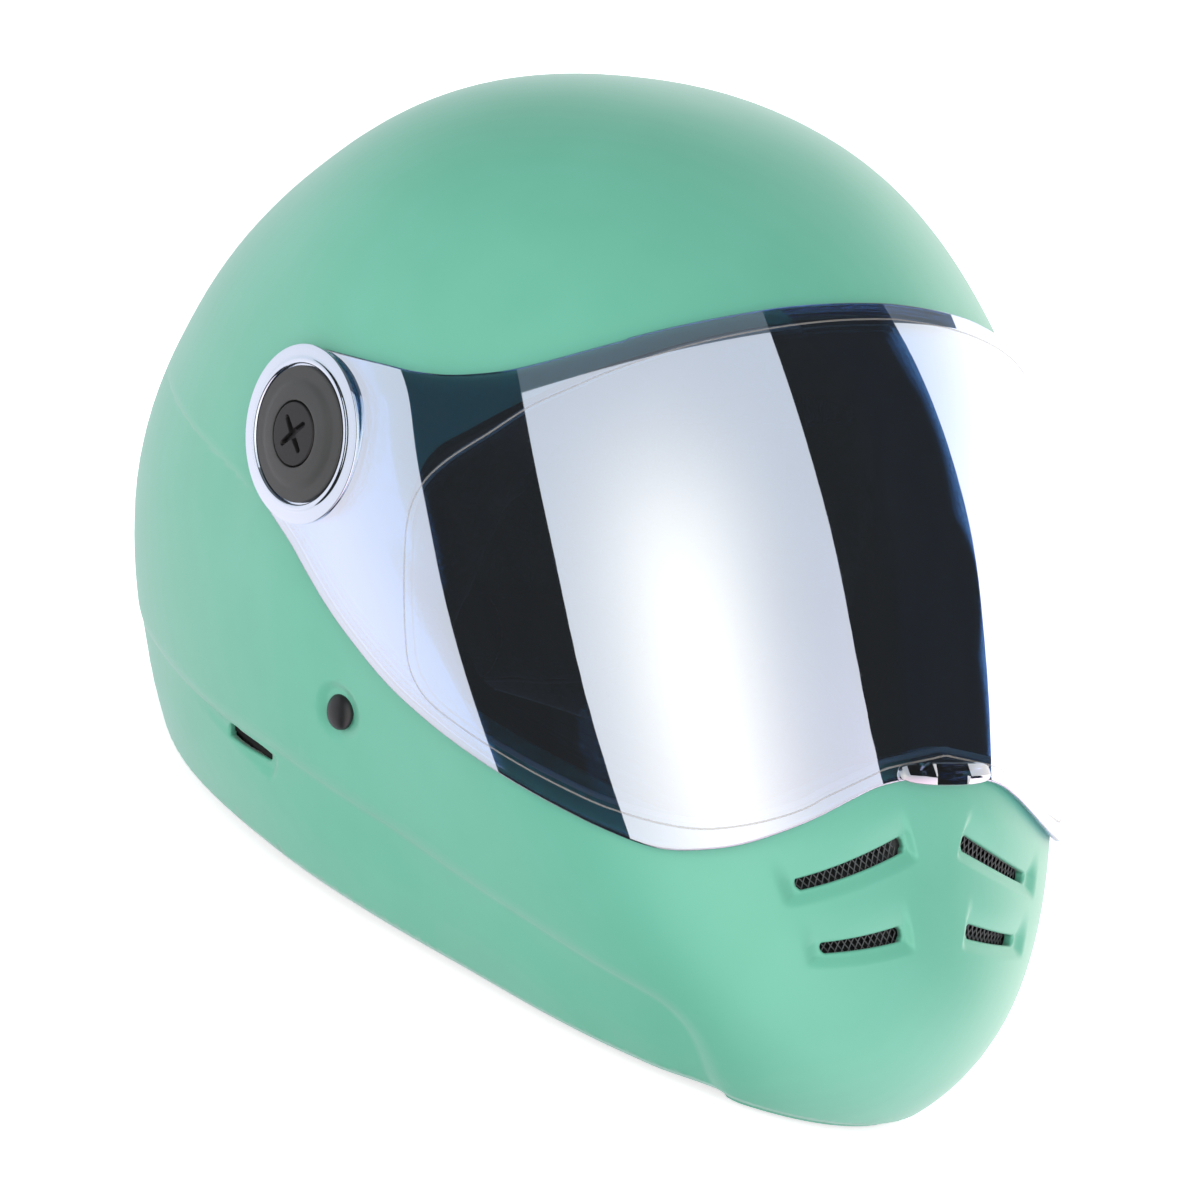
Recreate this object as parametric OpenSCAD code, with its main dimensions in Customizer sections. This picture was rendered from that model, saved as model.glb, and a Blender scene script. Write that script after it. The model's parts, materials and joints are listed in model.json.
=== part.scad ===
// Full face helmet with a flip-up mirrored visor on two temple pivots.
// The helmet faces -Y and stands on its lower rim; the wearer's right is -X.
// Shapes are laid out from the visor's pivot axis: forward is -Y, up is +Z.

/* [Shell outline] */
// Half width of the shell at the visor pivots
half_w = 120; // [114:1:126]
// Height of the visor pivots above the lower rim
pivot_h = 138; // [132:1:144]
// Reach from the pivot axis straight down, where the shell is open
reach_under = 201; // [196:1:206]
// Reach below the chin, 60 degrees down from straight ahead
reach_throat = 211; // [206:1:216]
// Reach of the chin's lower edge, 45 degrees down
reach_chin_low = 226; // [221:1:231]
// Reach of the chin, 30 degrees down
reach_chin = 230; // [225:1:235]
// Reach of the mouth, 15 degrees down
reach_mouth = 184; // [180:1:189]
// Reach straight ahead
reach_nose = 154; // [150:1:158]
// Reach at the eyes, 15 degrees up
reach_eyes = 138; // [135:1:142]
// Reach at the brow, 30 degrees up
reach_brow = 128.5; // [126:0.5:132]
// Reach at the forehead, 60 degrees up
reach_forehead = 115.5; // [113:0.5:119]
// Reach straight up
reach_crown = 112; // [109:1:115]
// Reach 60 degrees up from straight back
reach_crown_back = 115.5; // [112:0.5:119]
// Reach 30 degrees up from straight back
reach_back_high = 120; // [116:1:126]
// Reach straight back
reach_back = 139.5; // [135:0.5:144]
// Reach of the nape, 30 degrees down from straight back
reach_nape = 173; // [168:1:178]
// Reach below the nape, 60 degrees down from straight back
reach_nape_low = 190; // [185:1:195]

/* [Shell] */
// Thickness of the moulded shell
shell_wall = 3; // [2:0.5:4]
// Depth of the recessed band along the lower sides
band_depth = 1.6; // [1:0.2:2]
// Height of the recessed band's upper edge above the rim
band_h = 36; // [30:1:42]
// Distance from the pivot axis forward to the eye port's rear edge
port_rear = 47; // [45:1:50]
// Width of the gasket round the eye port
gasket_w = 2; // [1.5:0.25:3]

/* [Vents] */
// Clear height of a chin vent slot
vent_slot = 4.2; // [3.5:0.1:5]
// Distance from the middle plane to a chin vent's inner end
vent_inner = 13.5; // [12:0.5:16]
// Length of the upper chin vents, across the helmet
vent_upper_l = 35; // [30:1:38]
// Length of the lower chin vents, across the helmet
vent_lower_l = 26; // [22:1:30]
// Length of the vent slot behind each ear
ear_slot_l = 26; // [20:1:32]
// Thickness of the vent mesh
mesh_wall = 0.8; // [0.6:0.1:1.2]

/* [Visor] */
// Clear gap from the shell to the visor pane
pane_gap = 1.6; // [1.6:0.1:2]
// Thickness of the visor pane
pane_wall = 1.8; // [1.6:0.1:2.4]
// Thickness of the inner anti-fog lens
lens_wall = 0.7; // [0.6:0.05:0.75]
// Radius of the pane's round end at the pivot
pane_end_r = 27; // [26.5:0.25:28]
// Width of the lift tab at the middle of the lower edge
tab_w = 36; // [30:1:40]
// How far the lift tab stands out from the pane
tab_reach = 4; // [3:0.5:5]

/* [Pivots] */
// Radius of the raised bezel's front rim
bezel_r = 22.5; // [22:0.1:23]
// Radius of the clear pivot plate that the pane is bonded to
plate_r = 24.5; // [24:0.1:25]
// Radius of the black pivot cap
cap_r = 20.2; // [19:0.1:20.4]
// Radius of the pivot screw's head
screw_r = 9.5; // [8:0.1:10]
// Radius of the pivot screw's shank
shank_r = 3; // [2.5:0.1:3.5]
// Radius of the post that the visor turns on
post_r = 8; // [7:0.1:8.5]
// Radial clearance of the turning fits
turn_fit = 0.06; // [0.04:0.01:0.08]

/* [Liners] */
// Width of the head space between the comfort pads
head_w = 158; // [154:1:160]
// Length of the head space
head_l = 186; // [182:1:190]
// Height of the head space's domed part, from its widest level to twice the crown's rise
head_h = 190; // [186:1:192]
// Thickness of the comfort pads
pad_wall = 8; // [6:0.5:9]
// Thickness of the foam in the chin bar
chin_foam = 18; // [15:1:20]
// Thickness of the cheek pads
cheek_wall = 22; // [18:1:24]
// Angle that the worn helmet leans forward from the way it stands here
wear_lean = 20; // [16:1:22]

/* [Straps] */
// Width of the chin strap webbing
strap_w = 22; // [18:1:25]
// Thickness of the webbing
strap_t = 2; // [1.6:0.1:2.4]
// Radius of the strap rivet's domed head
rivet_r = 5.5; // [5:0.1:6]
// Radius of the D-rings' rod
ring_rod_r = 1.5; // [1.3:0.1:1.6]

/* [Hidden] */

// Sides of the helmet, as the sign of X
RIGHT = -1;
LEFT = 1;
// Clearance between neighbouring solids that don't turn on each other
gap = 0.4;
// Size of a cutting block that is larger than the helmet
big = 600;
// Rings and strips of the outer surfaces, and rings of the surfaces that lie inside the shell
skin_rings = 48;
skin_strips = 22;
inner_rings = 24;

// Angle up from straight ahead and reach there
reaches = [[-90, reach_under], [-60, reach_throat], [-45, reach_chin_low], [-30, reach_chin],
    [-15, reach_mouth], [0, reach_nose], [15, reach_eyes], [30, reach_brow],
    [60, reach_forehead], [90, reach_crown], [120, reach_crown_back], [150, reach_back_high],
    [180, reach_back], [210, reach_nape], [240, reach_nape_low]];
// Squareness of the shell's cross-section, every 45 degrees from straight down: 2 is an ellipse
squareness = [2.22, 1.91, 2.26, 2.08, 2.24, 2.36, 2.39, 2.27];

count = len(reaches);
function wrap(a) = a - 360 * floor((a + 90) / 360);
function knot_a(i) = reaches[(i + count) % count][0] + 360 * floor(i / count);
function knot_r(i) = reaches[(i + count) % count][1];
function slope(i) = (knot_r(i + 1) - knot_r(i - 1)) / (knot_a(i + 1) - knot_a(i - 1));
function before(a, i = 0) = i + 1 < count && knot_a(i + 1) <= a ? before(a, i + 1) : i;
// Smooth curve between two values with given slopes, u from 0 to 1 over a span
function blend(v0, v1, m0, m1, span, u) =
    (2 * u ^ 3 - 3 * u ^ 2 + 1) * v0 + (u ^ 3 - 2 * u ^ 2 + u) * span * m0
    + (3 * u ^ 2 - 2 * u ^ 3) * v1 + (u ^ 3 - u ^ 2) * span * m1;
// Reach of the shell from the pivot axis at angle a
function reach(a) = let (w = wrap(a), i = before(w), span = knot_a(i + 1) - knot_a(i))
    blend(knot_r(i), knot_r(i + 1), slope(i), slope(i + 1), span, (w - knot_a(i)) / span);
function square_at(i) = squareness[(i + 8) % 8];
function square_slope(i) = (square_at(i + 1) - square_at(i - 1)) / 90;
function power(a) = let (w = (wrap(a) + 90) / 45, i = floor(w))
    blend(square_at(i), square_at(i + 1), square_slope(i), square_slope(i + 1), 45, w - i);

// Pivot axis, placed so that the shell's front and back are equally far from the origin
front_reach = max([for (i = [0 : skin_rings - 1]) reach(360 * i / skin_rings) * cos(360 * i / skin_rings)]);
back_reach = max([for (i = [0 : skin_rings - 1]) -reach(360 * i / skin_rings) * cos(360 * i / skin_rings)]);
pivot_y = (front_reach - back_reach) / 2;

// A point of the shell's skin, inset inwards: a turns about the pivot axis, s runs across
function skin(a, s, inset) = let (n = power(a), c = cos(s), q = pow(abs(sin(s)), 2 / n),
    r = (reach(a) - inset) * q)
    [-(half_w - inset) * sign(c) * pow(abs(c), 2 / n), -r * cos(a), r * sin(a)];
// Distance of the skin from the middle plane at a place in side view
function side_x(y, z, inset) = let (a = atan2(z, -y), n = power(a),
    q = norm([y, z]) / (reach(a) - inset))
    q >= 1 ? 0 : (half_w - inset) * pow(1 - pow(q, n), 1 / n);
// A point of the skin at x from the middle plane and angle a
function skin_at(x, a, inset) = let (n = power(a),
    r = (reach(a) - inset) * pow(1 - pow(abs(x) / (half_w - inset), n), 1 / n))
    [x, -r * cos(a), r * sin(a)];

// Moves a shape laid out from the pivot axis to its place in the helmet
module from_pivot() { translate([0, pivot_y, pivot_h]) children(); }
// Turns a shape along Z so that it points outwards from the pivot axis on one side
module on_side(side) { from_pivot() rotate([0, side * 90, 0]) children(); }
// Mirrors what is laid out for the left side
module for_side(side) { mirror([side < 0 ? 1 : 0, 0, 0]) children(); }
// Cuts and joins curved walls as one closed mesh, at the size that they have
module as_mesh() { resize([0, 0, 0]) children(); }
// A solid seen from the side, running right across the helmet
module across(points) {
    rotate([90, 0, 90]) linear_extrude(big, center = true) polygon(points);
}

// The closed body inside the skin at an inset
module body(inset, rings = skin_rings, strips = skin_strips) {
    points = concat([skin(0, 0, inset)],
        [for (i = [0 : rings - 1], j = [1 : strips - 1]) skin(360 * i / rings, 180 * j / strips, inset)],
        [skin(0, 180, inset)]);
    row = strips - 1;
    last = len(points) - 1;
    function at(i, j) = 1 + (i % rings) * row + j;
    faces = concat(
        [for (i = [0 : rings - 1], j = [0 : row - 2]) [at(i, j), at(i + 1, j + 1), at(i, j + 1)]],
        [for (i = [0 : rings - 1], j = [0 : row - 2]) [at(i, j), at(i + 1, j), at(i + 1, j + 1)]],
        [for (i = [0 : rings - 1]) [0, at(i + 1, 0), at(i, 0)]],
        [for (i = [0 : rings - 1]) [last, at(i, row - 1), at(i + 1, row - 1)]]);
    polyhedron(points, faces);
}

// The same body with fewer rings, for what lies inside the shell's wall
module inner_body(inset) { body(inset, inner_rings); }

// A closed solid between two grids of points that share their outline's layout
module slab_between(upper, lower) {
    rows = len(upper);
    cols = len(upper[0]);
    points = concat([for (r = upper, p = r) p], [for (r = lower, p = r) p]);
    half = rows * cols;
    function at(i, j) = i * cols + j;
    edge = concat([for (j = [0 : cols - 2]) at(0, j)], [for (i = [0 : rows - 2]) at(i, cols - 1)],
        [for (j = [cols - 1 : -1 : 1]) at(rows - 1, j)], [for (i = [rows - 1 : -1 : 1]) at(i, 0)]);
    quads = [for (i = [0 : rows - 2], j = [0 : cols - 2])
        [at(i, j), at(i, j + 1), at(i + 1, j + 1), at(i + 1, j)]];
    faces = concat(
        [for (q = quads) [q[0], q[1], q[2]]], [for (q = quads) [q[0], q[2], q[3]]],
        [for (q = quads) [half + q[0], half + q[2], half + q[1]]],
        [for (q = quads) [half + q[0], half + q[3], half + q[2]]],
        [for (k = [0 : len(edge) - 1]) let (e = edge[k], f = edge[(k + 1) % len(edge)])
            [e, half + e, f]],
        [for (k = [0 : len(edge) - 1]) let (e = edge[k], f = edge[(k + 1) % len(edge)])
            [f, half + e, half + f]]);
    polyhedron(points, faces);
}

// Side views

// The visor pane: its round end, its lower edge to the nose, then its upper edge back
pane_side = concat(
    [for (a = [100 : 10 : 260]) [-pane_end_r * cos(a), pane_end_r * sin(a)]],
    [[-17, -35], [-27, -41], [-38, -46], [-56, -53], [-73, -56], [-105, -59], [-124, -60],
    [-145, -63], [-158, -61], [-167, -54], [-172, -42], [-173, -31], [-big / 2, -31],
    [-big / 2, 86], [-93, 85], [-88, 80], [-83, 73], [-76, 63], [-68, 55], [-62, 48.5],
    [-54, 42], [-42, 36], [-32, 33], [-20, 31]]);
// The eye port in the shell
port_side = [[-port_rear, 9], [-port_rear - 1, -8], [-port_rear - 6, -24], [-port_rear - 13, -37],
    [-70, -43], [-90, -47], [-124, -50], [-145, -53], [-155, -51], [-162, -44], [-166, -36],
    [-168, -27], [-big / 2, -27], [-big / 2, 80], [-93, 79], [-87, 70], [-80, 60], [-73, 51],
    [-67, 42], [-62, 35], [-port_rear - 8, 25], [-port_rear - 2, 17]];
module port_prism(grow) {
    rotate([90, 0, 90]) linear_extrude(big, center = true) offset(delta = grow) polygon(port_side);
}
module pane_prism() { across(pane_side); }
// Everything lower than h above the rim
module below(h) { translate([0, 0, h - pivot_h - big / 2]) cube(big, center = true); }
// Everything ahead of y
module ahead(y) { translate([0, y - big / 2, 0]) cube(big, center = true); }

// Shell

// Chin vent slots, seen from ahead on one side: distance of the inner end's middle below the
// pivot axis, length, and drop towards the outer end
chin_vents = [[50.5, vent_upper_l, 14], [73.8, vent_lower_l, 6]];
module chin_slot(v, grow) {
    translate([vent_inner, 0, -v[0]]) rotate([90, 0, 0]) linear_extrude(big / 2)
        polygon([[-grow, vent_slot / 2 + grow], [-grow, -vent_slot / 2 - grow],
            [v[1] + grow, -v[2] - vent_slot / 2 - grow], [v[1] + grow, -v[2] + vent_slot / 2 + grow]]);
}
module chin_slots(side, grow) { for_side(side) for (v = chin_vents) chin_slot(v, grow); }
// Vent slot behind each ear
ear_slot_y = 6;
ear_slot_z = -102.5;
module ear_slot(side, grow) {
    translate([side * big / 4, ear_slot_y, ear_slot_z])
        cube([big / 2, ear_slot_l + 2 * grow, vent_slot + 2 * grow], center = true);
}
// Strap rivets
rivet_y = -36;
rivet_z = -73;
rivet_x = side_x(rivet_y, rivet_z, 0);
rivet_shank_r = rivet_r / 2;
rivet_seat = 1.4;
// Room left round a rivet for the wall's slant
slant = 2.4;
shell_inside = shell_wall + band_depth;
// Radius of the pivot base's barrel, which passes through the shell
barrel_r = 17;
// Recessed band along the lower sides, back from the chin: where its upper edge starts to dip
// towards the front, and the rounding of its front end, back from the front and down from the edge
band_front = 160;
band_dip_y = 45;
band_end = [[-2, 24], [4, 11], [22, 7]];
module side_band() {
    band_z = band_h - pivot_h;
    difference() {
        across(concat([[big / 2, -big / 2], [-band_front, -big / 2]],
            [for (e = band_end) [e[0] - band_front, band_z - e[1]]],
            [[-band_dip_y, band_z], [big / 2, band_z]]));
        body(band_depth);
    }
}
module outer_shell() {
    color("mediumaquamarine") from_pivot() as_mesh() difference() {
        body(0);
        inner_body(shell_inside);
        below(0);
        side_band();
        port_prism(0);
        for (side = [RIGHT, LEFT]) {
            chin_slots(side, 0);
            ear_slot(side, 0);
            rotate([0, side * 90, 0]) cylinder(h = big / 2, r = barrel_r + gap, $fn = 50);
            translate([0, rivet_y, rivet_z]) rotate([0, side * 90, 0]) {
                cylinder(h = big / 2, r = rivet_shank_r + gap, $fn = 24);
                translate([0, 0, rivet_x - rivet_seat]) cylinder(h = big / 4, r = rivet_r + 1, $fn = 32);
            }
        }
    }
}

// Rubber lining round the edge of the eye port, from the shell's face inwards
module eye_port_gasket() {
    color("black") from_pivot() as_mesh() intersection() {
        difference() {
            body(0.1);
            inner_body(shell_inside + 2);
        }
        difference() {
            port_prism(-0.1);
            port_prism(-0.1 - gasket_w);
        }
        ahead(-port_rear + 1);
    }
}

// Soft edging inside the lower rim
trim_h = 7;
trim_wall = 2.5;
module rim_trim() {
    color("black") from_pivot() as_mesh() difference() {
        inner_body(shell_inside + gap);
        inner_body(shell_inside + gap + trim_wall);
        below(0.5);
        translate([0, 0, trim_h - pivot_h + big / 2]) cube(big, center = true);
    }
}

// Liners

// Head space in the way that it is worn, from the pivot axis
head_back = 17;
head_drop = 26;
head_sides = 36;
module as_worn() { rotate([-wear_lean, 0, 0]) translate([0, head_back, -head_drop]) children(); }
// The head space grown on every side, open downwards
module head_space(grow) {
    as_worn() {
        scale([head_w / 2 + grow, head_l / 2 + grow, head_h / 2 + grow]) sphere(1, $fn = head_sides);
        translate([0, 0, -big / 2]) scale([head_w / 2 + grow, head_l / 2 + grow, 1])
            cylinder(h = big / 2, r = 1, $fn = head_sides);
    }
}
// Foam left below the ear vent slots, and the room round each pivot base's flange
slot_foam = 11.4;
liner_bottom = pivot_h + ear_slot_z - vent_slot / 2 - slot_foam;
pivot_room_r = bezel_r + 3.5;
module crown_liner() {
    color("dimgray") from_pivot() as_mesh() difference() {
        inner_body(shell_inside + gap);
        head_space(pad_wall);
        below(liner_bottom);
        port_prism(3);
        translate([0, -port_rear + 4 - big / 2, -big / 2]) cube(big, center = true);
        for (side = [RIGHT, LEFT]) {
            ear_slot(side, 1);
            rotate([0, side * 90, 0]) translate([0, 0, base_in - 4])
                cylinder(h = big / 4, r = pivot_room_r, $fn = 40);
            strap_channel(side);
        }
    }
}
chin_foam_in = shell_inside + gap + chin_foam;
module chin_liner() {
    color("dimgray") from_pivot() as_mesh() difference() {
        inner_body(shell_inside + gap);
        inner_body(chin_foam_in);
        below(trim_h + 1);
        port_prism(3);
        translate([0, rivet_y - strap_w / 2 - 5 + big / 2, 0]) cube(big, center = true);
        translate([0, 0, big / 2]) cube(big, center = true);
        for (side = [RIGHT, LEFT]) {
            chin_slots(side, 1.5);
            strap_channel(side);
        }
    }
}
// Thin deflector behind the mouth, above the chin foam's middle
guard_wall = 2;
module breath_guard() {
    color("black") from_pivot() as_mesh() intersection() {
        difference() {
            inner_body(chin_foam_in + gap);
            inner_body(chin_foam_in + gap + guard_wall);
        }
        translate([0, -big / 4 - 100, -68]) cube([96, big / 2, 40], center = true);
    }
}

// Clearance behind the pads, with room for the flats of the foam's inner face
pad_gap = 0.9;
// A sewn pad's thickness over its outline, u and v from -1 to 1: crowned in the middle,
// drawn in at the edge, with channels across u
function crown_at(u, v, lobes) = let (edge = (1 - u ^ 4) * (1 - v ^ 4),
    lobe = abs(sin(90 * lobes * (u + 1))))
    0.32 + 0.68 * pow(edge, 0.4) * (0.62 + 0.38 * pow(lobe, 0.6));
// A rounded outline: pulls a square's corners in
function rounded(u, v) = [u * sqrt(1 - 0.32 * v * v), v * sqrt(1 - 0.32 * u * u)];
pad_rows = 16;
pad_cols = 8;
function pad_u(i) = 2 * i / pad_rows - 1;
function pad_v(j) = 2 * j / pad_cols - 1;

// Height of the grown head space above its widest level at x, y
function head_top(x, y, grow) = let (q = (x / (head_w / 2 + grow)) ^ 2 + (y / (head_l / 2 + grow)) ^ 2)
    (head_h / 2 + grow) * sqrt(max(0, 1 - q));
crown_half_l = 62;
crown_half_w = 46;
module crown_pad() {
    function spot(i, j, grow) = let (p = rounded(pad_u(i), pad_v(j)),
        x = p[0] * crown_half_w, y = p[1] * crown_half_l) [x, y, head_top(x, y, grow)];
    color("black") from_pivot() as_worn() slab_between(
        [for (i = [0 : pad_rows]) [for (j = [0 : pad_cols])
            spot(i, j, pad_wall - pad_gap)]],
        [for (i = [0 : pad_rows]) [for (j = [0 : pad_cols])
            spot(i, j, (pad_wall - pad_gap) * (1 - crown_at(pad_u(i), pad_v(j), 3)))]]);
}
// A point round the head space at an angle from straight ahead and a height from its widest level
function round_head(a, z, grow) = let (q = z <= 0 ? 1 : sqrt(1 - (z / (head_h / 2 + grow)) ^ 2))
    [(head_w / 2 + grow) * q * sin(a), -(head_l / 2 + grow) * q * cos(a), z];
module band_pad(middle, half_angle, z, half_z, lobes) {
    function spot(i, j, grow) = let (p = rounded(pad_u(i), pad_v(j)))
        round_head(middle + p[0] * half_angle, z + p[1] * half_z, grow);
    color("black") from_pivot() as_worn() slab_between(
        [for (i = [0 : pad_rows]) [for (j = [0 : pad_cols])
            spot(i, j, pad_wall - pad_gap)]],
        [for (i = [0 : pad_rows]) [for (j = [0 : pad_cols])
            spot(i, j, (pad_wall - pad_gap) * (1 - crown_at(pad_u(i), pad_v(j), lobes)))]]);
}
module brow_pad() { band_pad(0, 58, 48, 13, 3); }
module neck_roll() { band_pad(180, 62, -40, 17, 4); }

// Cheek pads, laid out for the left side: middle and half sizes in side view
cheek_y = -48;
cheek_z = -86;
cheek_half_y = 44;
cheek_half_z = 28;
// Distance of the grown head space's side from the middle plane, below its widest level
function head_side(y, z, grow) =
    (head_w / 2 + grow) * sqrt(1 - ((y * cos(wear_lean) - z * sin(wear_lean) - head_back) / (head_l / 2 + grow)) ^ 2);
module cheek_pad(side) {
    function face(p) = min(head_side(p[0], p[1], pad_wall - pad_gap), side_x(p[0], p[1], chin_foam_in + 1));
    function spot(i, j, full) = let (p = rounded(pad_u(i), pad_v(j)),
        y = cheek_y + p[0] * cheek_half_y, z = cheek_z + p[1] * cheek_half_z)
        [face([y, z]) - full * cheek_wall * crown_at(pad_u(i), pad_v(j), 2), y, z];
    color("black") from_pivot() for_side(side) slab_between(
        [for (i = [0 : pad_rows]) [for (j = [0 : pad_cols]) spot(i, j, 0)]],
        [for (i = [0 : pad_rows]) [for (j = [0 : pad_cols]) spot(i, j, 1)]]);
}

// Mesh behind the vents, pressed against the shell's inner face
module chin_mesh(side) {
    color("black") from_pivot() as_mesh() intersection() {
        difference() {
            inner_body(shell_inside - mesh_wall - 0.1);
            inner_body(shell_inside - 0.1);
        }
        for_side(side) for (v = chin_vents) chin_slot(v, -0.3);
    }
}
module ear_vent_mesh(side) {
    color("black") from_pivot() as_mesh() intersection() {
        difference() {
            inner_body(shell_inside - mesh_wall - 0.1);
            inner_body(shell_inside - 0.1);
        }
        ear_slot(side, -0.3);
    }
}

// Pivots, each laid out along the axis as a distance from the middle plane

base_in = half_w - 10.4;
flange_top = base_in + 3;
barrel_top = half_w - 0.3;
washer_wall = 0.6;
web_bottom = barrel_top + washer_wall + 0.4;
web_top = web_bottom + 1.6;
cap_bottom = web_top + 0.3;
post_top = cap_bottom;
rim_x = half_w + 4.1;
module ring_between(z0, z1, r_in, r_out) {
    translate([0, 0, z0]) difference() {
        cylinder(h = z1 - z0, r = r_out, $fn = 72);
        translate([0, 0, -1]) cylinder(h = z1 - z0 + 2, r = r_in, $fn = 72);
    }
}
nut_r = 6;
nut_h = 4;
// Flanged base that the visor's post stands on
module pivot_base(side) {
    color("dimgray") on_side(side) difference() {
        union() {
            translate([0, 0, base_in]) cylinder(h = flange_top - base_in, r = 23, $fn = 72);
            translate([0, 0, flange_top]) cylinder(h = barrel_top - flange_top, r = barrel_r, $fn = 72);
            translate([0, 0, barrel_top]) cylinder(h = post_top - barrel_top, r = post_r - turn_fit, $fn = 72);
        }
        translate([0, 0, base_in - 1]) cylinder(h = post_top - base_in + 2, r = shank_r + 0.2, $fn = 48);
        translate([0, 0, base_in - 1]) cylinder(h = nut_h + 1, r = nut_r + 0.1, $fn = 6);
    }
}
// Hexagonal nut in the base's back
module pivot_nut(side) {
    color("silver") on_side(side) translate([0, 0, base_in]) difference() {
        cylinder(h = nut_h - 0.1, r = nut_r, $fn = 6);
        translate([0, 0, -1]) cylinder(h = nut_h + 2, r = shank_r + turn_fit, $fn = 48);
    }
}
module pivot_washer(side) {
    color("whitesmoke") on_side(side)
        ring_between(barrel_top, barrel_top + washer_wall, post_r + turn_fit, barrel_r - 0.5);
}
// Clear plate with the raised bezel, bonded into the pane
module visor_plate(side) {
    color("lightsteelblue") on_side(side) rotate_extrude($fn = 96) polygon([
        [post_r + turn_fit, web_bottom], [plate_r - 3, web_bottom], [plate_r - 3, half_w + 0.1],
        [plate_r, half_w + 0.1], [plate_r, half_w + 2.2], [bezel_r + 0.6, rim_x - 0.5],
        [bezel_r, rim_x], [cap_r + 0.9, rim_x], [cap_r + 0.5, rim_x - 0.4],
        [cap_r + 0.5, web_top], [post_r + turn_fit, web_top]]);
}
// Black cap over the post, domed in two steps round the screw
screw_seat = half_w + 3.6;
cap_edge = rim_x - 0.2;
module pivot_cap(side) {
    color("black") on_side(side) rotate_extrude($fn = 96) polygon([
        [shank_r + 0.2, cap_bottom], [cap_r, cap_bottom], [cap_r, cap_edge - 0.5],
        [cap_r - 0.6, cap_edge], [cap_r * 0.76, cap_edge + 0.8], [cap_r * 0.74, cap_edge + 0.5],
        [screw_r + 2, cap_edge + 1.5], [screw_r + 0.35, cap_edge + 1.5],
        [screw_r + 0.35, screw_seat], [shank_r + 0.2, screw_seat]]);
}
// Quarter-turn screw with a cross slot
slot_w = 1.8;
slot_l = 12;
module pivot_screw(side) {
    top = cap_edge + 2.3;
    color("black") on_side(side) difference() {
        union() {
            rotate_extrude($fn = 72) polygon([[0, screw_seat + 0.1], [screw_r, screw_seat + 0.1],
                [screw_r, top - 0.6], [screw_r - 0.6, top - 0.1], [0, top]]);
            translate([0, 0, base_in + 0.5]) cylinder(h = screw_seat - base_in, r = shank_r, $fn = 48);
        }
        for (turn = [45, 135]) translate([0, 0, top]) rotate([0, 0, turn])
            cube([slot_l, slot_w, 2.4], center = true);
    }
}

// Visor

lens_gap = pane_gap - lens_wall - 0.35;
pane_rings = 50;
pane_strips = 24;
module visor_pane() {
    color("lightsteelblue", 0.6) from_pivot() as_mesh() intersection() {
        difference() {
            body(-pane_gap - pane_wall, pane_rings, pane_strips);
            body(-pane_gap, pane_rings, pane_strips);
            for (side = [RIGHT, LEFT]) rotate([0, side * 90, 0])
                cylinder(h = big / 2, r = plate_r + 0.1, $fn = 72);
        }
        pane_prism();
    }
}
module lens_layer(from, to) {
    difference() {
        body(-to, pane_rings, pane_strips);
        body(-from, pane_rings, pane_strips);
    }
}
module anti_fog_lens() {
    color("lightblue", 0.5) from_pivot() as_mesh() intersection() {
        lens_layer(lens_gap, lens_gap + lens_wall);
        port_prism(-1);
    }
}
// Silicone bead that bonds the lens's edge to the pane
seal_w = 1.6;
module lens_seal() {
    color("tan") from_pivot() as_mesh() intersection() {
        lens_layer(lens_gap + lens_wall + 0.05, pane_gap - 0.05);
        difference() {
            port_prism(-1.1);
            port_prism(-1.1 - seal_w);
        }
    }
}
// Clear lip at the middle of the pane's lower edge, for lifting the visor
tab_a = -10.4;
tab_t = 2.4;
module visor_tab() {
    function lip(u, out, up) = let (x = u * tab_w / 2, p = skin_at(x, tab_a, -pane_gap - pane_wall - 0.1),
        bow = 1 - abs(u) ^ 3)
        [x, p[1] - out * (0.25 + 0.75 * bow), p[2] + up];
    steps = 16;
    color("lightsteelblue") from_pivot() slab_between(
        [for (i = [0 : steps]) [for (k = [0 : 4]) lip(2 * i / steps - 1, tab_reach * k / 4, 0)]],
        [for (i = [0 : steps]) [for (k = [0 : 4]) lip(2 * i / steps - 1, tab_reach * k / 4, tab_t)]]);
}

// Straps

washer_t = 1;
rivet_washer_x = rivet_x - shell_inside - slant - washer_t;
rivet_tail_r = 4.5;
rivet_tail_x = rivet_washer_x - strap_t - 0.2;
// Domed rivet through the shell, its washer and the strap's end
module strap_rivet(side) {
    color("black") from_pivot() translate([0, rivet_y, rivet_z]) rotate([0, side * 90, 0])
        rotate_extrude($fn = 64) polygon(concat(
            [[0, rivet_tail_x - 1], [rivet_tail_r, rivet_tail_x - 1], [rivet_tail_r, rivet_tail_x],
            [rivet_shank_r, rivet_tail_x], [rivet_shank_r, rivet_x - rivet_seat + 0.1],
            [rivet_r, rivet_x - rivet_seat + 0.1]],
            [for (a = [0 : 15 : 90]) [rivet_r * cos(a), rivet_x - 0.4 + 2.2 * sin(a)]]));
}
module rivet_washer(side) {
    color("silver") from_pivot() translate([0, rivet_y, rivet_z]) rotate([0, side * 90, 0])
        ring_between(rivet_washer_x, rivet_washer_x + washer_t, rivet_shank_r + 0.1, rivet_r + 0.5);
}
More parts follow.
